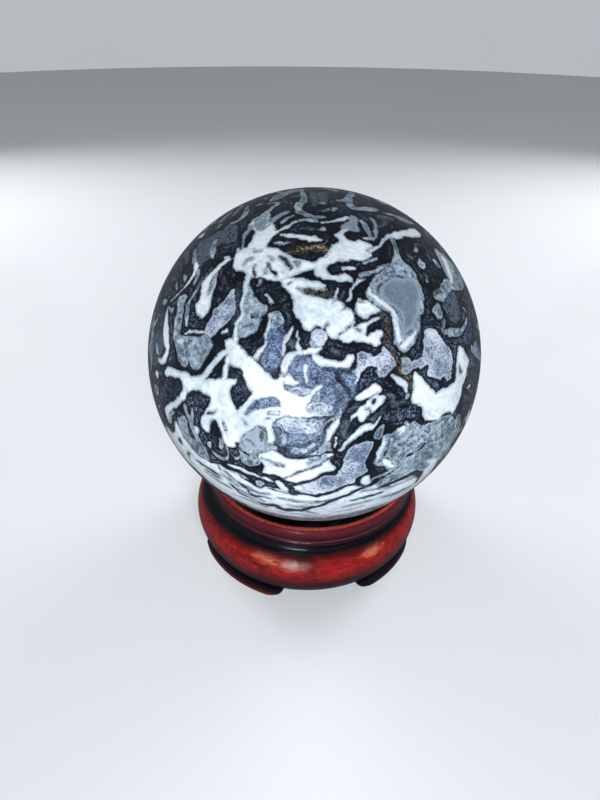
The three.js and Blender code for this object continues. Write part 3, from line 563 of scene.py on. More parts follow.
  29.5,-36.2 31.5,-34.6 29,-35.8 26,-35 23,-34 20.5,-34 19.3,-33 20,-30.5 20,-28 20.9,-26
W 21,-24,.5 21.7,-26.5,.7 20.9,-29,.6 20.3,-32,.4
W 24.5,-31.8,1.1 27,-33.7,1 29.3,-34.3,.4
W 25.5,-21,.8 27.5,-20,.9 26.5,-22.5,.6
S 24.4,-26.2,.2 26.1,-27.3,.3
K 23.5,-28.3,.5 23,-29.8,.4
K 32.8,-30.4,.6 34.7,-29.4,.35
K 36.5,-29,.25 38.5,-27,.4
S 28,-31.3,.25 30.3,-33,.45
S 28.7,-24,.3 29.7,-23.7,.2
S 34,-21.8,.2 38.5,-22.8,.4
W 27,-4.9 28.5,-4.7 30,-5.4 31.5,-6.9 32.5,-8.2 34,-9.3 36,-9.9 40,-10.4 42.5,-10.5 44.5,-12.5 43.5,-16
  41.3,-18.3 39,-19.2 36.5,-19.1 34.5,-18 33,-16.7 32,-15.2 31,-14.1 29.2,-13.9 28,-13.2 27.1,-11 28.2,-9
  27.4,-7
P 26.1,-11.2,.5 25.5,-12,.3
S 19.5,-11,.6 21.5,-12,1 22,-13.5,.5
S 23.5,-13.3,.7 25.3,-12.7,.6
S 15.8,-17.5,.6 17.8,-16.6,.6 19.4,-15.8,.4
S 22.2,-17,.3 22.7,-18,.4
S 8.2,-19,1 7.6,-22,.9 8.8,-23.5,.5
S 11,-14,.7 9,-15.2,.6
L 5.6,-23.5,.3 5.9,-25.3,.3
W -56,-33 -50,-32.5 -46,-33.5 -42,-34.5 -39,-35 -36.5,-35.2 -34.5,-35.8 -32,-37 -29.5,-38.5 -27,-40.5
  -23,-42.5 -19.5,-43 -16,-43.2 -12,-44 -9,-45.8 -6,-45.8 -3,-46.2 0,-47 3,-46.5 6,-45.2 9,-43.5 12,-41.8
  15,-41.3 19,-42 22.5,-42 25.5,-40 28.5,-38 31,-35.5 36,-34 42,-33.5 48,-33 54,-33 62,-40 60,-50 48,-58
  25,-66 0,-71 -20,-70 -40,-62 -54,-50 -62,-40
P -50,-57 -30,-61.5 -15,-63 -4,-63.5 6,-62.8 20,-60.5 35,-57 48,-55 52,-60 20,-71 0,-72 -20,-71 -40,-66
P 24.5,-41 26.5,-39.5 29,-37.8 31.5,-35.6 34,-34 40,-33.5 46,-34 51,-35.5 48,-38 43,-36.5 39,-38 35,-39.8
  31,-41.2 27.5,-42.3
P 27.5,-44.2,.3 33,-43.8,.5 38.5,-42.6,.6 43,-41.3,.5
P 34,-49.5,.8 40,-49,1 46,-47.5,1 50,-45.5,.5
S 41,-48.3,.5 44,-47.5,.8 46.7,-46.6,.4
K 28,-42.9,.6 30.1,-42.3,.9 32.3,-41.5,.9 34.9,-40.8,.8 37,-40,.8 38.8,-39.3,.9 40.7,-38.6,1.1
  43.3,-37.8,1.3 46,-38.7,1.3 48.6,-40.4,1 50.6,-42.3,.7 51.5,-44.5,.4
S 40.5,-40.7,.3 43.5,-40,.4 46,-40.4,.4
K 17.6,-49.3,.35 19.9,-48.8,.5 23.2,-48.2,.7 24.7,-47.6,.75 27.2,-47,.65 29.3,-46.6,.5 31,-46.2,.3
P 20,-44.9,.3 24,-44,.5 27,-43.6,.3
K -12.6,-56.4,1.1 -8.5,-56.5,1 -6,-56,1.1 -4.3,-55,1.1 -1.3,-53.6,.9 1.8,-52.5,.8 4.3,-51.3,.7 6.1,-50.3,.7
  8.7,-49.2,.8 10.3,-48.5,.7 12.2,-47.2,.8 13.9,-46.2,.9 15,-45,.9 16.6,-43.9,.8 18.4,-43,.8 20.1,-42.5,.7
  22.3,-41.8,.6 24,-40.6,.6 25.6,-39.4,.5 27.1,-38.6,.5 28.4,-37.5,.45 29.9,-36.4,.4 30.8,-35,.35
  32.5,-33.3,.25
S -4.2,-57.5,.4 -1,-58.3,.4 1.8,-59,.3
S .5,-49.7,.2 4,-49.5,.25 6.7,-49,.2 9.4,-47.9,.15
K -10.6,-42.6 -8.8,-42 -8.4,-43 -7.2,-44 -4,-44.6 -7.6,-45.6 -8.6,-46.2 -9.6,-45.6 -10.4,-44.4
K -9,-44.6,.8 -7.5,-44.8,.6 -5.1,-45.2,.5 -2.8,-45.6,.5 -.6,-46.4,.8 1,-46.6,.8 3,-45.9,.6 5.4,-45.3,.5
  6.7,-44.3,.6 8.6,-43.2,.6 10.2,-42.2,.6 12,-41.2,.5 13.9,-40.7,.5 16.3,-41.1,.5 19.3,-41.9,.6
K 15.9,-40.3,.5 15.4,-39.1,.55 15.9,-38,.5 17.1,-37.1,.45 18.6,-36,.45
S -8,-61,.15 0,-61.4,.25 4.8,-61.3,.35 10,-60.8,.15
S 12,-58,.2 17,-57.3,.35 22,-56,.35 27,-54.3,.2
S -22,-59,.15 -14,-60.2,.25 -6,-60,.15
P -16,-48,.3 -9,-49.6,.6 -3,-50.6,.7 2,-50.4,.4
P -13,-53,.3 -8,-54,.5 -4,-52.8,.4
P 15,-54,.3 22,-52,.6 29,-50.5,.5
W -18.7,-29 -16,-28.2 -14,-27.6 -12.4,-28.2 -10.7,-29.6 -9,-30.7 -6,-31 -3,-30.4 0,-29.6 3,-28.6 5,-27.8
  5.6,-28.6 4.2,-30.4 5.2,-32.4 7,-33.3 6.8,-34.4 5,-35 3.2,-35.4 2,-36.6 .2,-37.5 -1.6,-38.2 -3.5,-38.8
  -5.2,-39.2 -8,-39.6 -10,-39.3 -11.3,-38.4 -13,-37.3 -16,-36.9 -19.3,-37 -18,-34.5 -18.4,-32.5 -19.8,-30.5
P -18,-30.5,.2 -15,-32.5,.4 -11,-33,.25
P -2.6,-32.5,.3 0,-31.2,.5 3,-29.7,.5
S -2,-30.4,.35 -.9,-31.1,.5 .2,-31.4,.3
S -11.6,-38,.15 -9.2,-37,.2 -7.3,-36,.2 -5,-35,.25 -2.5,-34.1,.35 0,-33.2,.45 1.6,-32,.45 3,-31,.4
  5,-30.2,.4
K 4.6,-31 6.2,-29.8 7.7,-29.3 8.9,-30.6 8.8,-32.2 9,-34 7.9,-35.6 6.4,-35.5 7.2,-33.9 7.1,-32.9 5.5,-32.5
K -11,-40.4,.9 -9.8,-40.2,.6 -7.5,-40.3,.5 -5,-39.9,.5 -3.4,-39.4,.5 -1.5,-38.9,.5 .3,-38.2,.5 2.1,-37.3,.5
  3,-36.4,.7 4.8,-35.8,.5 6.4,-35.4,.5 7.8,-35,.7
L -8.6,-41.2 -5,-40.8 -2,-39.9 0,-39.2 3,-37.9 4,-41 0,-45.2 -3,-45 -6,-44.4 -8.2,-43.2
W -8.9,-41.3 -7.4,-41 -5,-41.2 -4,-42.3 -4.6,-43.5 -6.4,-43.6 -8.2,-42.7
W 16.7,-39 17.4,-37.9 19,-37.1 19.9,-37.6 20.6,-39.2 21.8,-40.3 20.6,-41.1 18.7,-41 17.2,-40.3
K 17.4,-32.3 19,-31.8 20.8,-33.6 23,-33.9 25,-33.7 25.7,-34.8 25.4,-36.2 24.5,-37.4 22.8,-38 21.7,-39.3
  20.6,-38.4 19.4,-36.8 18.4,-36 18.1,-34.1
P 22.2,-39.2,.4 24,-38.3,.4 26.5,-36.7,.4 28.5,-35.5,.4
K -29.6,-37 -28,-37.4 -26,-38 -23.6,-37.9 -21.4,-38.7 -20,-40 -18,-40.6 -16,-41.2 -14.8,-43.4 -16.4,-43.4
  -18.8,-42.4 -20.4,-43 -22.2,-44 -23.6,-43.4 -25,-42.8 -27,-41.6 -29,-40.2 -30.2,-39
L -23.4,-40.4 -22,-40.3 -20.6,-41.2 -19.8,-42 -21,-42.2 -22.2,-43 -23.6,-42.4 -23.8,-41.2
W -29.8,-38,.3 -28.8,-38.9,.45 -27.4,-39.8,.35 -26.4,-40.3,.15
K -20,-36.8,.8 -18.4,-37.5,.9 -16.6,-37.8,.8 -14.9,-37.6,.8 -13.3,-38,.7 -12.1,-39,.8 -10.9,-40.4,1
  -10.2,-42,1.1 -9.9,-43.9,1 -9.1,-45.2,.8
K -18.4,-37.9,.7 -16.9,-38.9,.8 -16.2,-40.7,.8 -15.5,-42.2,.7 -14.7,-43.4,.3
W -14.4,-39.7 -13,-39.4 -12.3,-40.4 -11.4,-42.3 -10.8,-43.9 -11.8,-44.4 -13.6,-44.1 -14.6,-42.7 -15,-41.1
W -32.6,-34.4,.5 -30,-35.1,.9 -28.4,-35.7,.8 -26,-36.6,.7 -23.3,-37.2,.7 -21.2,-38,.6 -19.2,-39,.7
  -17.4,-39.9,.7 -16.6,-40.4,.3
S -19,-43.9,.15 -16.6,-44.2,.2 -13.6,-44.7,.25 -11.3,-45.2,.2
K -38.2,-42.9,.25 -37.5,-44.7,.5 -36.9,-46.7,.55 -35.9,-48.6,.5 -34.4,-49.7,.45 -32.2,-50.9,.35
  -30.2,-52.2,.4 -28.6,-53.2,.6 -26.5,-53.6,.8 -23.9,-53.7,1 -20.9,-53.3,1 -19.5,-54.5,1 -19,-56,1
  -17.2,-56.9,1.1 -14.3,-56.8,1.1 -11,-56.5,1.1
K -30.3,-45.8,.35 -30.6,-47.6,.55 -29.3,-48.7,.65 -27.9,-49.1,.55 -25,-48.4,.45 -22.8,-48.6,.5
  -21.2,-49.5,.25
P -35,-46,.4 -33,-48,.5 -30.5,-49.6,.4 -26,-51,.4
P -31,-43.6,.5 -27.5,-45.2,.7 -24,-46.4,.6 -20,-46.6,.3
S -32.8,-41.4,.35 -31,-43.2,.55 -30.2,-45,.4
P -38.5,-39.5,.5 -36,-42,.7 -34,-44,.5
K -41,-24.5,.6 -40.8,-25.7,.6 -39.9,-27,.7 -39.3,-27.9,.6 -38.6,-29,.6 -38.1,-30.5,.6 -37.3,-32.1,.8
  -36.7,-33.3,.4
K -38.9,-34.3,.25 -38.5,-36,.5 -38,-37.3,.25
K -36,-34.9,.3 -33.9,-34,.35 -31.8,-33.6,.3 -29.6,-33.2,.5
K -34.2,-35.6,.4 -32.4,-36.5,.5 -30.9,-37.2,.55 -29.6,-38,.5
S -36.2,-37.4,.3 -35.3,-39.3,.5 -34,-40.8,.3
K -51,-34.5,.4 -49.7,-34.9,.4 -48.9,-36.4,.5 -46.6,-37,.5 -44.5,-38,.6 -43.2,-39,.6 -41.6,-40,.3
S -48,-38.6,.4 -45,-40,.6 -42.5,-41.3,.3
P -50,-40,.6 -46,-42.5,.8 -41,-45.5,.6
P -42,-49.5,.5 -36,-52.5,.7 -28,-55.5,.6
V -5.6,-.3 -3.5,0 -1.5,-.3 -1.2,-2 -.3,-3 3,-3.7 8,-4.1 10,-4.6 10.4,-7 9.8,-9.5 9,-12 7,-16 5.5,-17 2,-16.8
  -2,-17 -4,-14 -6,-12 -9,-10 -9.5,-8 -8,-6 -8.2,-3.8 -7,-2
S -5,-.8,.4 -3.5,-.7,.5 -2,-.8,.4
K 5,-4.9,.4 6,-6.7,1 7.2,-8.6,.8 8.2,-10,.6 9,-11.5,.3
K 1,-3.8,.2 4,-4.3,.3 8.5,-4.8,.6
P -5.9,-3.6,.12 -3.8,-2.2,.18
W -4.3,-4.2 -3.9,-3.2 -3.3,-2.9 -2.5,-3.4 -2.3,-4.2 -2.8,-5 -2.9,-6 -2.6,-7 -2.6,-8 -3.2,-8.2 -3.6,-7
  -4,-5.6
W -12,-8 -10.5,-6 -8.5,-5.5 -7,-5.3 -6.6,-6 -6,-7 -5,-7.4 -4.8,-8.2 -6,-8.6 -7.5,-8 -8.2,-8.6 -8.6,-9.6
  -7,-10.7 -4,-11 -2.6,-10.4 -1.2,-9 0,-8.3 1.6,-8.6 1.2,-9.1 0,-9.6 -.8,-10.6 -1.3,-12 -2.5,-13.3
  -3.3,-14.5 -2,-15.8 1.8,-16.4 4.6,-15.8 2.5,-16.7 -1,-17.4 -5,-17.5 -9,-17.4 -11,-15
G -10.1,-5.2,.3 -9.3,-5.7,.4
V -9,-7.7,.2 -8.6,-9,.45 -7.5,-9.2,.5
L -8,-9.5 -6,-8.9 -4,-8.8 -2,-8.8 -1.6,-9.5 -2.5,-10.4 -4.5,-10.8 -7,-10.7
P .8,-5.7,.12 3,-5.6,.2 4,-6.3,.2 4.8,-7.5,.12
S 1.2,-7.3,.25 2.5,-6.5,.25 3.8,-6.7,.25 4.3,-7.7,.35 4.6,-8.4,.35 3,-8.5,.3 1.8,-8.2,.2
P 4.9,-7.9,.12 5.8,-8.4,.2 6.6,-9,.15 6.3,-9.7,.1
L .2,-10.2,.25 .5,-11.3,.3 .2,-12.3,.25
P 2.5,-11.6,.2 3.7,-11,.4 4.8,-10.9,.15
L 0,-12.8 3,-13 4.5,-14 4,-15.3 1,-16.1 -2,-15.8 -3,-14.6 -2,-13.3
S 5.2,-10.2,.3 6.5,-11.3,.9 6.5,-12.8,.9 5.6,-14.2,.7 4.6,-15.2,.3
P 8.3,-11.3,.12 7.5,-13,.2 6.6,-14.6,.25 6.1,-16.5,.35
V -20.3,-16.5,.3 -18,-14.5,.7 -15.5,-13.5,1.1 -12.5,-13,1.3 -11.2,-13.2,1
V -11.5,-18 -9,-17.6 -5,-17.6 -1,-17.8 2,-17.6 2.3,-19 1.5,-21 2.9,-22.5 2.3,-24.5 1.2,-26.6 -.8,-28.2
  -3,-29.1 -6,-29.6 -9,-29 -11.3,-27.5 -12.8,-25 -13,-22 -12.3,-20
L -11.2,-18.4 -9,-17.9 -5,-17.8 0,-18.1 1.7,-18 1.6,-20 .5,-21.5 -2,-21.8 -5,-22.2 -7.5,-22.1 -8.5,-21.5
  -10,-21 -11,-20
V -10.5,-19.5,.3 -9.8,-20.8,.4 -9,-21.6,.35
V -5,-18.7,.15 -2,-18.8,.25 .5,-19,.25 1,-20.5,.35
W -5.7,-20.2,.3 -3.8,-20.3,.6 -2,-20.5,.5 -1.3,-21,.15
S -12.4,-19.6,.3 -12.8,-22,.4 -12.3,-24.5,.5 -11.8,-26.5,.6 -9.8,-28.2,.6 -7,-29.3,.3 -4,-29.4,.3
  -1.5,-28.5,.3 .6,-26.9,.4 1.6,-25,.55 2,-23,.5
K -11.8,-26.4,.3 -9.8,-27.1,.8 -8.3,-28.5,.3 -5.5,-29.3,.2 -2.5,-28.9,.15
L -11.8,-21.5 -10.5,-21.6 -9.4,-22.4 -8.7,-24 -9.2,-25.3 -10.3,-25.4 -11.1,-24.6 -11,-23.3 -11.9,-22.5
W -11,-22.2,.3 -9.9,-23.2,.35 -10,-24.7,.4
P -8,-25.2,.15 -6.5,-25.2,.3 -4.3,-25,.4 -2.5,-24,.3 -.5,-22.6,.2 1.3,-21.8,.3 2.1,-20,.2 3.3,-18.3,.3
  5.6,-16.8,.4
S -7.5,-26.1,.3 -5,-26.2,.45 -3,-25.6,.45 -1.2,-24.4,.35 .5,-23.3,.3
L -7.6,-27.2 -6.7,-26.9 -5.5,-27.2 -4,-27 -2.3,-26.4 -1,-25 -.2,-25 -.6,-26.2 -1.8,-27.4 -3.4,-28.2
  -5.5,-28.6 -7,-28.4
W -7,-27.6,.3 -6,-28,.4 -5,-28,.2
W -2,-27,.25 -1,-25.8,.3 -.3,-25.2,.2
P 3.3,-25.2,.8 2.8,-27,.8 .8,-28.6,.5
G -23.5,-23.8 -22,-22.3 -20,-21.5 -18,-20.4 -15.8,-20.2 -15.6,-22 -16,-24.5 -15.5,-27 -16.5,-28 -19,-28.6
  -20,-30 -21.5,-29.5 -23.5,-28 -24.8,-27 -24.5,-25.5
S -17,-20.5,.4 -16.4,-21.5,.4 -17.3,-23,.7 -17.2,-24.5,.4
S -22,-25.1,.3 -20.5,-25.7,.45 -19.3,-27,.3
S -24,-25.6,.4 -23,-27.2,.3
W -21.8,-28.9,.3 -20.9,-28.8,.5
B 17.5,11,.4 18.6,8,.6 18.5,4,.5 19.5,1,.5 21,-2,.6 23,-4,.7 26,-6,.6 28,-9,.4
B 24,-1.3,.8 25.5,-3,.6
B -5,17.2,.4 -3,16.7,.8 -.5,16.3,1 1.7,16.4,.6
B -11.6,26.9,.3 -9.6,25.4,.5
B -14,0,.5 -12.5,-2,.6
B -9.5,28.8,.8 -6.5,29.8,1 -3,30.2,.9 2,29.8,.9
Y -7.5,29.3,.05 -4.5,30.3,.25 -1,30.4,.4 2.5,29.8,.3 3.6,29.2,.1
"""


# ---------------------------------------------------------------- the stone's pattern
# Places on the ball are (across, up) in degrees, as a globe's are, with (0, 0) at the front and 32
# degrees up, across running to the right. One degree is about 0.6 mm of the ball's surface.
PATTERN_TILT = math.radians(32)
FRONT = np.array((0.0, -math.cos(PATTERN_TILT), math.sin(PATTERN_TILT)))
RIGHT = np.array((1.0, 0.0, 0.0))
UP = np.array((0.0, math.sin(PATTERN_TILT), math.cos(PATTERN_TILT)))
# K, the black ground, is what is left where no tone is.
# V is blue-lavender dusted ground round the highlight: partly the stone's own colour and partly a painted
# glow of the highlight.
TONES = {"W": "white", "P": "pale", "G": "grey", "L": "speckled", "V": "violet_and_glow", "S": "slate"}
STAINS = {"B": "rusty", "Y": "golden"}   # over whatever tone is there
REACH = 6.0                 # how far from a patch its distance is kept, in degrees
# The photograph shows one side. The others repeat it mirrored about these middles: azimuth from the
# front, height and twist, in degrees.
HIDDEN_SIDES = ((180, -20, 65), (105, 25, 200), (-105, 10, 150), (175, 60, 310),
                (60, -50, 20), (-60, -50, 120), (140, -10, 250), (-140, 30, 340),
                (90, -10, 100), (-90, -30, 30), (180, 10, 180), (0, -80, 90))
COPY_GAP = 1.6              # between a copied stroke's points and what is there, in degrees


def directions(places):
    across, up = np.radians(places[:, 0:1]), np.radians(places[:, 1:2])
    return np.cos(up) * np.cos(across) * FRONT + np.cos(up) * np.sin(across) * RIGHT + np.sin(up) * UP


def flat_around(points, centre):
    """Directions as flat places about a centre, in degrees."""
    east = np.cross((0.0, 0.0, 1.0), centre)
    east /= np.linalg.norm(east)
    north = np.cross(centre, east)
    x, y = points @ east, points @ north
    sine = np.hypot(x, y) + 1e-12
    degrees = np.degrees(np.arctan2(sine, points @ centre))
    return np.stack((x / sine * degrees, y / sine * degrees), 1)


def eased(path, closed):
    """The path with its corners cut twice."""
    for _ in range(2):
        following = np.roll(path, -1, 0) if closed else path[1:]
        start = path if closed else path[:-1]
        cut = np.stack((start * 0.75 + following * 0.25, start * 0.25 + following * 0.75), 1)
        cut = cut.reshape(-1, path.shape[1])
        path = cut if closed else np.vstack((path[:1], cut, path[-1:]))
    return path


def to_segment(places, start, end):
    """Squared distance of each place to a segment, and how far along it the nearest point is."""
    along = end - start
    offset = places - start
    share = np.clip(offset @ along / (along @ along + 1e-12), 0, 1)
    offset = offset - share[:, None] * along
    return (offset * offset).sum(1), share


def area_distance(places, outline):
    nearest = np.full(len(places), 1e9)
    inside = np.zeros(len(places), bool)
    for start, end in zip(outline, np.roll(outline, -1, 0)):
        nearest = np.minimum(nearest, to_segment(places, start, end)[0])
        rise = end[1] - start[1]
        if abs(rise) > 1e-12:
            crossing = (end[0] - start[0]) * (places[:, 1] - start[1]) / rise + start[0]
            inside ^= ((start[1] > places[:, 1]) != (end[1] > places[:, 1])) & (places[:, 0] < crossing)
    distance = np.sqrt(nearest)
    return np.where(inside, -distance, distance)


def line_distance(places, line):
    nearest = np.full(len(places), 1e9)
    for start, end in zip(line, line[1:]):
        squared, share = to_segment(places, start[:2], end[:2])
        nearest = np.minimum(nearest, np.sqrt(squared) - (start[2] * (1 - share) + end[2] * share))
    return nearest


def read_strokes(text):
    """The strokes as (tone, directions, half widths), with no widths for a filled patch."""
    strokes = []
    for line in text.strip().splitlines():
        words = line.split()
        if not line.startswith(" "):
            strokes.append((words.pop(0), []))
        strokes[-1][1].extend([float(number) for number in word.split(",")] for word in words)
    made = []
    for tone, places in strokes:
        places = np.array(places)
        made.append((tone, directions(places), places[:, 2] if places.shape[1] == 3 else None))
    return made


def painted(points, strokes):
    """Distance in degrees to each tone, below nought inside it. A later stroke covers an earlier one."""
    fields = {tone: np.full(len(points), REACH) for tone in (*TONES, *STAINS)}
    for tone, aims, widths in strokes:
        centre = aims.mean(0)
        centre /= np.linalg.norm(centre)
        extent = np.degrees(np.arccos(np.clip(aims @ centre, -1, 1))).max() + REACH + 2
        near = np.where(points @ centre > math.cos(math.radians(min(extent, 179))))[0]
        if not len(near):
            continue
        flat, drawn = flat_around(points[near], centre), flat_around(aims, centre)
        if widths is None:
            distance = area_distance(flat, eased(drawn, True))
        else:
            distance = line_distance(flat, eased(np.column_stack((drawn, widths)), False))
        for name, field in fields.items():
            if name == tone:
                field[near] = np.minimum(field[near], distance)
            elif tone not in STAINS and name not in STAINS:
                field[near] = np.maximum(field[near], -distance)
    return fields


def carried_round(strokes):
    """The strokes, and before them mirrored copies wherever those keep clear of what is there already."""
    taken = np.concatenate([aims for _, aims, _ in strokes])
    copies = []
    for azimuth, height, twist in HIDDEN_SIDES:
        a, h, t = np.radians((azimuth, height, twist))
        ahead = np.array((math.sin(a) * math.cos(h), -math.cos(a) * math.cos(h), math.sin(h)))
        side = np.cross((0, 0, 1), ahead)
        side /= np.linalg.norm(side)
        top = np.cross(ahead, side)
        right, up = math.cos(t) * side + math.sin(t) * top, math.cos(t) * top - math.sin(t) * side
        added = []
        for tone, aims, widths in strokes:
            moved = np.outer(aims @ FRONT, ahead) - np.outer(aims @ RIGHT, right) + np.outer(aims @ UP, up)
            if (moved @ taken.T).max() < math.cos(math.radians(COPY_GAP)):
                added.append((tone, moved, widths))
        if added:
            taken = np.vstack([taken] + [aims for _, aims, _ in added])
        copies += added
    return copies + strokes


# ---------------------------------------------------------------- the ball
CELLS = 128                 # along each edge of the cube that is blown up into the ball
FRONT_CROWDING = 0.6        # the mesh is this much finer at the front, where the pattern is finest
WANDER_SIZE = 0.8           # degrees
WANDER_SEED = 4             # without one, the noise is new on every run


def ball_mesh():
    """An even ball of quads, with its points and faces crowded towards the front."""
    steps = np.tan(np.linspace(-math.pi / 4, math.pi / 4, CELLS + 1))
    u, v = np.meshgrid(steps, steps, indexing="ij")
    one = np.ones_like(u)
    sides = ((one, u, v), (-one, v, u), (v, one, u), (u, -one, v), (u, v, one), (v, u, -one))
    points = np.concatenate([np.stack(side, -1).reshape(-1, 3) for side in sides])
    points /= np.linalg.norm(points, axis=1, keepdims=True)
    rounded_off = np.round(points * 1e5).astype(int)
    _, first, same = np.unique(rounded_off, axis=0, return_index=True, return_inverse=True)
    same = same.ravel()
    points = points[first]
    corner = np.arange((CELLS + 1) ** 2).reshape(CELLS + 1, CELLS + 1)
    quad = np.stack((corner[:-1, :-1], corner[1:, :-1], corner[1:, 1:], corner[:-1, 1:]), -1).reshape(-1, 4)
    faces = same[np.concatenate([quad + side * (CELLS + 1) ** 2 for side in range(len(sides))])]
    # The cube's +X side is turned to the front, and then everything is drawn towards it.
    ahead, right, up = points.T
    turn = np.arctan2(np.hypot(right, up), ahead)
    drawn_turn = 2 * np.arctan(FRONT_CROWDING * np.tan(np.minimum(turn, math.pi - 1e-9) / 2))
    ratio = np.sin(drawn_turn) / np.maximum(np.sin(turn), 1e-9)
    placed = (np.cos(drawn_turn)[:, None] * FRONT + (ratio * right)[:, None] * RIGHT
              + (ratio * up)[:, None] * UP)
    return placed / np.linalg.norm(placed, axis=1, keepdims=True), faces


def wandering(points):
    """The points shifted a little by slow noise, so that outlines aren't drawn too smoothly."""
    noise.seed_set(WANDER_SEED)
    shift = np.array([noise.noise_vector(Vector(p) * 14) + 0.5 * noise.noise_vector(Vector(p) * 33)
                      for p in points])
    points = points + shift * math.radians(WANDER_SIZE)
    return points / np.linalg.norm(points, axis=1, keepdims=True)


def patterned_ball():
    """The ball's mesh, with the distance to each tone kept at its points."""
    points, faces = ball_mesh()
    mesh = smooth_mesh("stone_ball", points * BALL_RADIUS + (0, 0, BALL_CENTRE_HEIGHT), faces)
    fields = painted(wandering(points), carried_round(read_strokes(STROKES)))
    for tone, name in {**TONES, **STAINS}.items():
        values = mesh.attributes.new(name, "FLOAT", "POINT").data
        values.foreach_set("value", fields[tone].astype(np.float32))
    return mesh


def stone_material():
    s = Shader("patterned_stone")
    place = s.place()
    height = s.parts(place)[2]
    cloud = s.noise(place, 0.2, 3.0, 0.6)
    mottle = s.noise(place, 1.0, 4.0, 0.7)
    fine = s.noise(place, 4.2, 2.0, 0.7)
    ragged = s.add(s.swing(s.noise(place, 0.5, 3.0, 0.6), 0.55), s.swing(s.noise(place, 2.2, 2.0, 0.6), 0.5))
    cells = s.node("TexVoronoi", {"Vector": place, "Scale": 4.6}, out=1)
    grain = s.node("SeparateColor", {0: cells})          # a number for each grain of the stone
    # How far each place is from each tone, in degrees, below nought inside it.
    depth = {tone: s.add(s.attribute(name), ragged) for tone, name in TONES.items()}
    nearest = s.lowest(*depth.values())

    # Black ground. It is blank along the patches' edges, dusted with pale grains further off, the grains
    # dimmed towards the top of the ball as painted shade, and thin grey lines follow the edges here and
    # there.
    dust_and_top_shade = s.times(s.step(nearest, 0.2, 1.3), s.step(cloud, 0.38, 0.6, 0.06, 1.0))
    dust_and_top_shade = s.times(dust_and_top_shade, s.step(s.add(grain, s.swing(fine, 0.5)), 0.58, 1.06))
    # Painted shade: the pale grains dim towards the top of the ball.
    dust_and_top_shade = s.times(dust_and_top_shade, s.step(height, 76, 58, 0.25, 0.95))
    ground = s.mix(dust_and_top_shade, srgb(4, 8, 15), srgb(138, 158, 200))
    for far, strength in ((1.3, 0.5), (2.4, 0.3)):
        echo = s.step(s.math("ABSOLUTE", s.add(nearest, -far)), 0.25, 0.05)
        echo = s.times(s.times(echo, s.step(s.add(mottle, s.swing(cloud, 0.4)), 0.5, 0.66)), strength)
        ground = s.mix(echo, ground, srgb(108, 124, 148))
    # Painted shade and reflection on the lower part of the ball: there the black ground is lifted towards
    # navy as a painted bluish reflection, the whites go greyer as painted shade, and the streaks in the
    # whites grow stronger.
    low = s.step(height, 44, 26)
    ground = s.mix(s.times(low, 0.5), ground, srgb(34, 50, 70))

    # Streaks that follow the patches' edges, as the layers of an agate do.
    along_edges = s.node("CombineXYZ", {0: s.times(nearest, 1.1), 1: s.noise(place, 0.1, 2.0), 2: 0.0})
    along_edges = s.node("VectorMath", {0: along_edges, 1: s.scaled(place, (0.1, 0.1, 0.1))}, operation="ADD")
    streaks = s.noise(along_edges, 2.2, 3.0, 0.6)
    streaky = s.step(streaks, 0.4, 0.62)

    pepper = s.step(s.add(s.times(grain, 0.5), s.times(fine, 0.95)), 0.46, 0.98)
    slate = s.mix(pepper, srgb(7, 13, 21), srgb(98, 114, 132))

    # V: dusted ground made lighter round the highlight, in part as a painted glow of it.
    bluish = s.add(s.times(pepper, 0.7), s.swing(s.noise(place, 0.5, 3.0, 0.6), 1.1))
    violet_and_glow = s.mix(bluish, srgb(30, 44, 80), srgb(158, 180, 214))

    speckled = s.mix(s.add(s.times(pepper, 0.8), s.swing(cloud, 1.7)), srgb(74, 92, 122), srgb(206, 216, 230))
    speckled = s.mix(s.step(depth["L"], -0.8, 0.0, 0.0, 0.45), speckled, srgb(204, 214, 230))

    grey = s.mix(s.add(s.times(pepper, 0.35), s.swing(cloud, 0.6)), srgb(98, 111, 130), srgb(146, 158, 174))
    grey = s.mix(s.step(height, 68.5, 64.0, 0.0, 0.5), grey, srgb(178, 192, 206))
    grey = s.mix(s.step(depth["G"], -1.6, 0.0, 0.0, 0.5), grey, srgb(176, 188, 202))

    chalky = s.add(s.times(mottle, 1.3), s.add(s.times(cloud, 0.6), s.times(grain, 0.12)))
    pale = s.mix(s.step(chalky, 0.82, 1.3), srgb(38, 60, 82), srgb(184, 200, 212))
    pale = s.mix(s.times(streaky, 0.28), pale, srgb(168, 188, 206))
    pale = s.mix(s.step(depth["P"], -0.7, 0.0, 0.0, 0.3), pale, srgb(188, 204, 218))

    milky = s.step(s.add(cloud, s.swing(mottle, 0.35)), 0.28, 0.6)
    white = s.mix(milky, srgb(200, 213, 224), srgb(238, 245, 248))
    layered = s.times(s.add(0.25, s.times(low, 0.4)), s.step(streaks, 0.56, 0.36))
    white = s.mix(layered, white, srgb(134, 156, 172))
    # Painted shade: the whites go greyer towards the bottom of the ball.
    white = s.mix(s.times(low, 0.35), white, srgb(164, 184, 196))
    white = s.mix(s.step(depth["W"], -1.0, 0.1, 0.0, 0.75), white, srgb(140, 156, 176))

    # Each tone over the ground, with how softly its edge goes over, in degrees.
    colour = ground
    for tone, paint, soft in (("S", slate, 0.6), ("V", violet_and_glow, 0.7), ("L", speckled, 0.28), ("G", grey, 0.5),
                              ("P", pale, 0.3), ("W", white, 0.28)):
        colour = s.mix(s.step(depth[tone], soft, -soft), colour, paint)

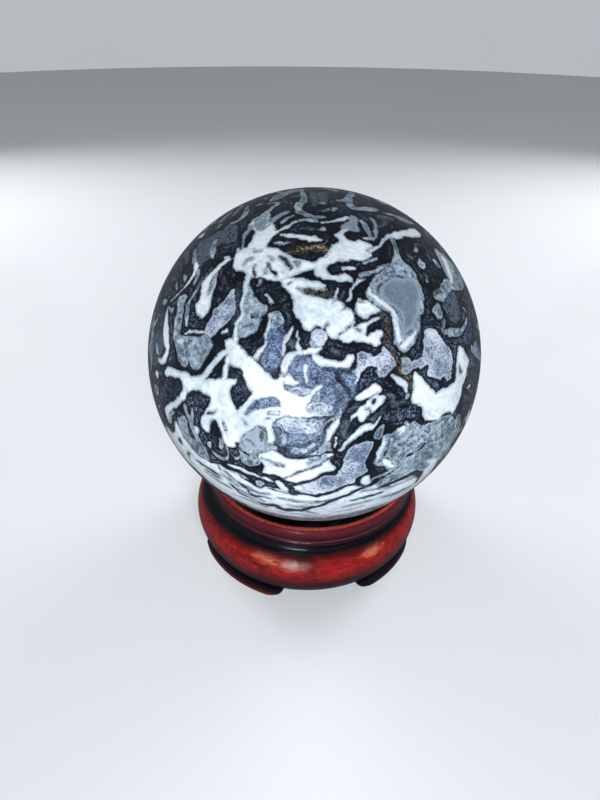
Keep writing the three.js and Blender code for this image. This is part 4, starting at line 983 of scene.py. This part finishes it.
    # A rusty stain along a few seams, and a row of golden flecks.
    seam = s.step(s.add(s.attribute("rusty"), ragged), 0.9, -0.5)
    stain = s.times(seam, s.step(s.add(mottle, s.swing(grain, 0.25)), 0.4, 0.62))
    colour = s.mix(s.times(stain, 0.6), colour, s.mix(pepper, srgb(50, 45, 40), srgb(132, 120, 102)))
    flecks = s.times(s.step(s.add(s.attribute("golden"), ragged), 0.4, 0.0), s.step(grain, 0.6, 0.72))
    colour = s.mix(s.times(flecks, 0.8), colour, srgb(190, 162, 120))
    return s.finish(Base_Color=colour, Roughness=0.3, Specular_IOR_Level=0.45, Coat_Weight=0.65,
                    Coat_Roughness=0.06, Coat_IOR=1.45)


ball = make_object("stone_ball", patterned_ball(), stone_material())
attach(ball, "root")
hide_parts("stone_sphere")


# ---------------------------------------------------------------- the stand
AROUND = 256                # columns of points round the stand
MIDDLE_ROWS = 13            # rings in the middle of the dish
UPPER_ROWS = 149            # from there over the lip down to the middle of the belly
LOW_ROWS = 63               # from there down to the foot's edge or the channels' roof
INWARD_SHARES = (0.02, 0.1, 0.3, 0.5, 0.7, 0.85)    # rings on the way in to the underside's recess
RECESS_RADII = (21.7, 21.6, 21.5, 21.4, 21.3, 20, 18, 15, 12, 9, 6, 3)
RECESS_STEP = (21.6, 0.2)   # where the recess starts, going inwards, and over how much it deepens
LEAN_FADE = 1.6             # below the cove's top, the height over which the base's offset sets in
CORNER_POINTS = 5           # that a rounded corner is made of
SHARP_EDGE = math.radians(50)


def seat_height(radius):
    return BALL_CENTRE_HEIGHT - math.sqrt((BALL_RADIUS + SEAT_GAP) ** 2 - radius ** 2)


def arc(centre, out, up, start, end, steps):
    angles = np.radians(np.linspace(start, end, steps))
    return [(centre[0] + out * math.cos(a), centre[1] + up * math.sin(a)) for a in angles]


def rounded(path, cut):
    """The path with each corner turned into a short curve, cut at most this far from the corner."""
    path = [np.array(p, float) for p in path]
    made = [path[0]]
    for before, corner, after in zip(path, path[1:], path[2:]):
        a, b = before - corner, after - corner
        size = min(cut, np.linalg.norm(a) * 0.45, np.linalg.norm(b) * 0.45)
        a, b = corner + a / np.linalg.norm(a) * size, corner + b / np.linalg.norm(b) * size
        for t in np.linspace(0, 1, CORNER_POINTS):
            made.append(a * (1 - t) ** 2 + corner * 2 * t * (1 - t) + b * t ** 2)
    return np.array(made + [path[-1]])


def lengths(path):
    """How far along the path each of its points is."""
    return np.concatenate(([0], np.cumsum(np.linalg.norm(np.diff(path, axis=0), axis=1))))


def along(path, at):
    """The points at these lengths along the path."""
    return np.stack([np.interp(at, lengths(path), path[:, axis]) for axis in (0, 1)], 1)


def rows_along(path, count):
    """This many rings, evenly along the path, without one at its start."""
    at = np.linspace(0, lengths(path)[-1], count + 1)[1:]
    return [np.tile(point, (AROUND, 1)) for point in along(path, at)]


def arch_height(x, y):
    """Height of the channels' roof above the floor at a place under the base; nought at the feet."""
    height = np.zeros_like(x)
    t = np.linspace(0, 1, 60)
    for azimuth, half_width in ARCHES:
        a = math.radians(azimuth)
        across = np.abs(x * math.cos(a) + y * math.sin(a))
        ease = (half_width - ARCH_CROWN_HALF_WIDTH) / 3
        ends = (ARCH_CROWN_HALF_WIDTH, ARCH_CROWN_HALF_WIDTH + ease, half_width - ease, half_width)
        weights = ((1 - t) ** 3, 3 * t * (1 - t) ** 2, 3 * t * t * (1 - t), t ** 3)
        reach = sum(e * w for e, w in zip(ends, weights))
        rise = ARCH_CROWN_HEIGHT * (weights[0] + weights[1])
        height = np.maximum(height, np.interp(across, reach, rise))
    return height


seat_top = seat_height(SEAT_RADIUS)
dish_round = (SEAT_RADIUS ** 2 + DISH_DEPTH ** 2) / (2 * DISH_DEPTH)
dish = arc((0, seat_top - DISH_DEPTH + dish_round), dish_round, dish_round, -90,
           -math.degrees(math.acos(SEAT_RADIUS / dish_round)), 16)
lip = arc((LIP_RADIUS, LIP_HEIGHT), LIP_ROUND, LIP_ROUND, 160, 0, 9)
score = [(COLLAR_RADIUS, SCORE_HEIGHT + SCORE_WIDTH / 2), (COLLAR_RADIUS - SCORE_DEPTH, SCORE_HEIGHT),
         (COLLAR_RADIUS, SCORE_HEIGHT - SCORE_WIDTH / 2)]
cove = [(COLLAR_RADIUS, COLLAR_BOTTOM), (COVE_RADIUS, COVE_TOP), (COVE_RADIUS, COVE_BOTTOM)]
belly_above = arc(BELLY_MIDDLE, BELLY_OUT, BELLY_UP, BELLY_TOP_ANGLE, 0, 30)
belly_below = arc(BELLY_MIDDLE, BELLY_OUT, BELLY_DOWN, 0, BELLY_FOOT_ANGLE, 30)
upper_outline = rounded(dish + lip + score + cove + belly_above, 0.5)
lower_outline = rounded(belly_below + FOOT_OUTLINE, 0.45)
dish_middle = 3 * CORNER_POINTS         # the outline's points up to the third corner from the axis


def stand_skin():
    """The turned stand as one closed skin, column by column, from the dish round to the underside."""
    azimuth = np.arange(AROUND) * (2 * math.pi / AROUND)
    sine, cosine = np.sin(azimuth), np.cos(azimuth)
    rows = rows_along(upper_outline[:dish_middle + 1], MIDDLE_ROWS)
    rows += rows_along(upper_outline[dish_middle:], UPPER_ROWS)

    radius = np.full(AROUND, 26.5)
    for _ in range(4):      # settle where each column's outside meets the channels' roof
        roof = arch_height(radius * sine, -radius * cosine)
        radius = np.interp(roof, lower_outline[::-1, 1], lower_outline[::-1, 0])
    end = np.interp(roof, lower_outline[::-1, 1], lengths(lower_outline)[::-1])
    rows += [along(lower_outline, end * share) for share in np.linspace(0, 1, LOW_ROWS + 1)[1:]]
    for share in INWARD_SHARES:
        r = radius + (UNDERSIDE_RADIUS + 0.2 - radius) * share
        rows.append(np.stack((r, arch_height(r * sine, -r * cosine)), 1))
    recess_start, recess_run = RECESS_STEP
    for r in RECESS_RADII:
        recess = UNDERSIDE_RECESS * np.clip((recess_start - r) / recess_run, 0, 1)
        rows.append(np.stack((np.full(AROUND, r), np.maximum(recess, arch_height(r * sine, -r * cosine))), 1))

    r, z = np.moveaxis(np.array(rows), -1, 0)
    lean = BASE_OFFSET * np.clip((COVE_TOP - z) / LEAN_FADE, 0, 1)
    lean[:MIDDLE_ROWS] = 0
    ring = np.stack((r * sine + lean, -r * cosine, z), -1).reshape(-1, 3)
    top, bottom = len(ring), len(ring) + 1
    points = np.vstack((ring, [(0, 0, seat_top - DISH_DEPTH), (BASE_OFFSET, 0, ARCH_CROWN_HEIGHT)]))
    row, column = np.meshgrid(np.arange(len(rows) - 1), np.arange(AROUND), indexing="ij")
    here, beside = row * AROUND + column, row * AROUND + (column + 1) % AROUND
    faces = np.stack((here, here + AROUND, beside + AROUND, beside), -1).reshape(-1, 4).tolist()
    last = (len(rows) - 1) * AROUND
    for j in range(AROUND):
        following = (j + 1) % AROUND
        faces.append((top, j, following))
        faces.append((bottom, last + following, last + j))
    return points, faces


# Peach-coloured places on the belly's shoulder, in millimetres: partly wear and partly painted highlights.
# The photograph shows the first two.
SHEEN_AND_WEAR_SPOTS = ((-10.2, -24.6, 12.0), (13.5, -22.4, 11.8), (22.5, 11.0, 11.2), (-4.0, 25.5, 12.2), (-25.0, 6.0, 11.0))
SHEEN_AND_WEAR_FLATTENING = (0.6, 0.6, 1.5)       # they are wider than high


def wood_material():
    s = Shader("lacquered_wood")
    place = s.place()
    x, y, height = s.parts(place)
    radius = s.math("SQRT", s.add(s.times(x, x), s.times(y, y)))
    wander = s.noise(place, 0.16, 3.0)
    high = s.add(height, s.swing(wander, 0.5))
    flames = s.noise(s.scaled(place, (0.5, 1, 1)), 0.26, 4.0, 0.6, 0.6)
    grain = s.noise(s.scaled(place, (0.22, 0.5, 1)), 1.9, 4.0, 0.7)
    fine = s.noise(s.scaled(place, (0.6, 0.6, 1)), 6.0, 2.0, 0.7)

    # Red belly: streaked, with peach spots on the shoulder that are partly wear and partly painted
    # highlights, darker towards the cove, and darkened towards the foot as painted shade.
    red = s.mix(s.step(s.add(flames, s.swing(fine, 0.12)), 0.33, 0.62), srgb(98, 8, 10), srgb(150, 17, 16))
    red = s.mix(s.times(s.step(grain, 0.46, 0.72), 0.45), red, srgb(196, 60, 42))
    red = s.mix(s.times(s.step(grain, 0.5, 0.32), 0.5), red, srgb(50, 3, 8))
    flattened = s.scaled(place, SHEEN_AND_WEAR_FLATTENING)
    # Each peach spot is partly wear and partly a painted highlight.
    for spot in SHEEN_AND_WEAR_SPOTS:
        middle = [a * b for a, b in zip(spot, SHEEN_AND_WEAR_FLATTENING)]
        distance = s.node("VectorMath", {0: flattened, 1: middle}, out=1, operation="DISTANCE")
        sheen_and_wear = s.step(s.add(distance, s.swing(grain, 3.2)), 2.3, 0.4, 0.0, 0.7)
        red = s.mix(sheen_and_wear, red, srgb(226, 128, 96))
    red = s.mix(s.step(high, 11.2, 13.0, 0.0, 0.85), red, srgb(40, 3, 8))
    # Painted shade: the belly's underside goes nearly black towards the foot.
    red = s.mix(s.step(high, 10.2, 5.4, 0.0, 0.96), red, srgb(22, 2, 8))

    # Plum collar, with its fine turned line painted lighter as a highlight, and a bright line painted as a
    # highlight along the lip's top.
    collar = s.mix(s.step(s.add(grain, s.swing(flames, 0.2)), 0.35, 0.65), srgb(20, 3, 14), srgb(48, 8, 24))
    collar = s.mix(s.step(height, 17.4, 19.8, 0.0, 0.6), collar, srgb(112, 24, 28))
    colour = s.mix(s.step(high, 14.8, 15.6), red, collar)
    # Painted highlight on the fine turned line in the collar.
    score_line_highlight = s.times(s.step(height, 16.65, 16.85), s.step(height, 17.3, 17.1))
    colour = s.mix(s.times(score_line_highlight, 0.75), colour, srgb(132, 40, 40))
    # Painted highlight round the top of the lip.
    lip_top_highlight = s.times(s.step(s.add(height, s.swing(fine, 0.14)), 20.03, 20.2), s.step(radius, 23.3, 23.6))
    colour = s.mix(lip_top_highlight, colour, s.mix(s.step(fine, 0.4, 0.6), srgb(138, 40, 32), srgb(196, 86, 66)))

    # Black in the cove, widened towards the sides and back as painted shade; black in the groove over the
    # feet, on the feet towards the right and above their bottom strip, and as painted shade in the dish under
    # the ball.
    # Painted shade: off the front, the cove's black reaches further up and down.
    off_front_shade = s.step(y, -22, -6)
    cove_bottom = s.step(s.add(high, s.times(off_front_shade, 0.8)), 12.7, 13.4)
    cove_top = s.step(s.add(high, s.times(off_front_shade, -1.8)), 15.8, 15.1)
    groove = s.times(s.step(height, 1.25, 1.45), s.step(high, 3.9, 2.9))
    blackened = s.math("MAXIMUM", s.times(cove_bottom, cove_top), groove)
    colour = s.mix(blackened, colour, srgb(9, 8, 14))
    foot = s.mix(s.step(s.add(x, s.swing(wander, 14.0)), 0.0, 8.0), srgb(92, 14, 10), srgb(12, 6, 12))
    foot = s.mix(s.step(height, 0.5, 1.0), foot, srgb(14, 7, 12))
    colour = s.mix(s.step(height, 1.45, 1.25), colour, foot)
    # Painted shade inside the dish, under the ball.
    inside = s.step(radius, 23.4, 23.1)
    colour = s.mix(s.times(inside, s.step(height, 9.0, 10.0)), colour, srgb(14, 10, 14))
    colour = s.mix(s.step(height, 0.12, 0.03), colour, srgb(24, 16, 16))
    bump = s.node("Bump", {"Height": s.add(grain, s.times(fine, 0.6)), "Strength": 0.5, "Distance": 0.00012})
    return s.finish(Base_Color=colour, Roughness=0.4, Specular_IOR_Level=0.1, Coat_Weight=0.75,
                    Coat_Roughness=0.1, Coat_IOR=1.7, Normal=bump, Coat_Normal=bump)


stand_shape = smooth_mesh("turned_stand", *stand_skin())
stand_shape.set_sharp_from_angle(angle=SHARP_EDGE)
stand = make_object("turned_stand", stand_shape, wood_material())
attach(stand, "root")
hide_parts("wooden_stand")


bpy.context.view_layer.update()
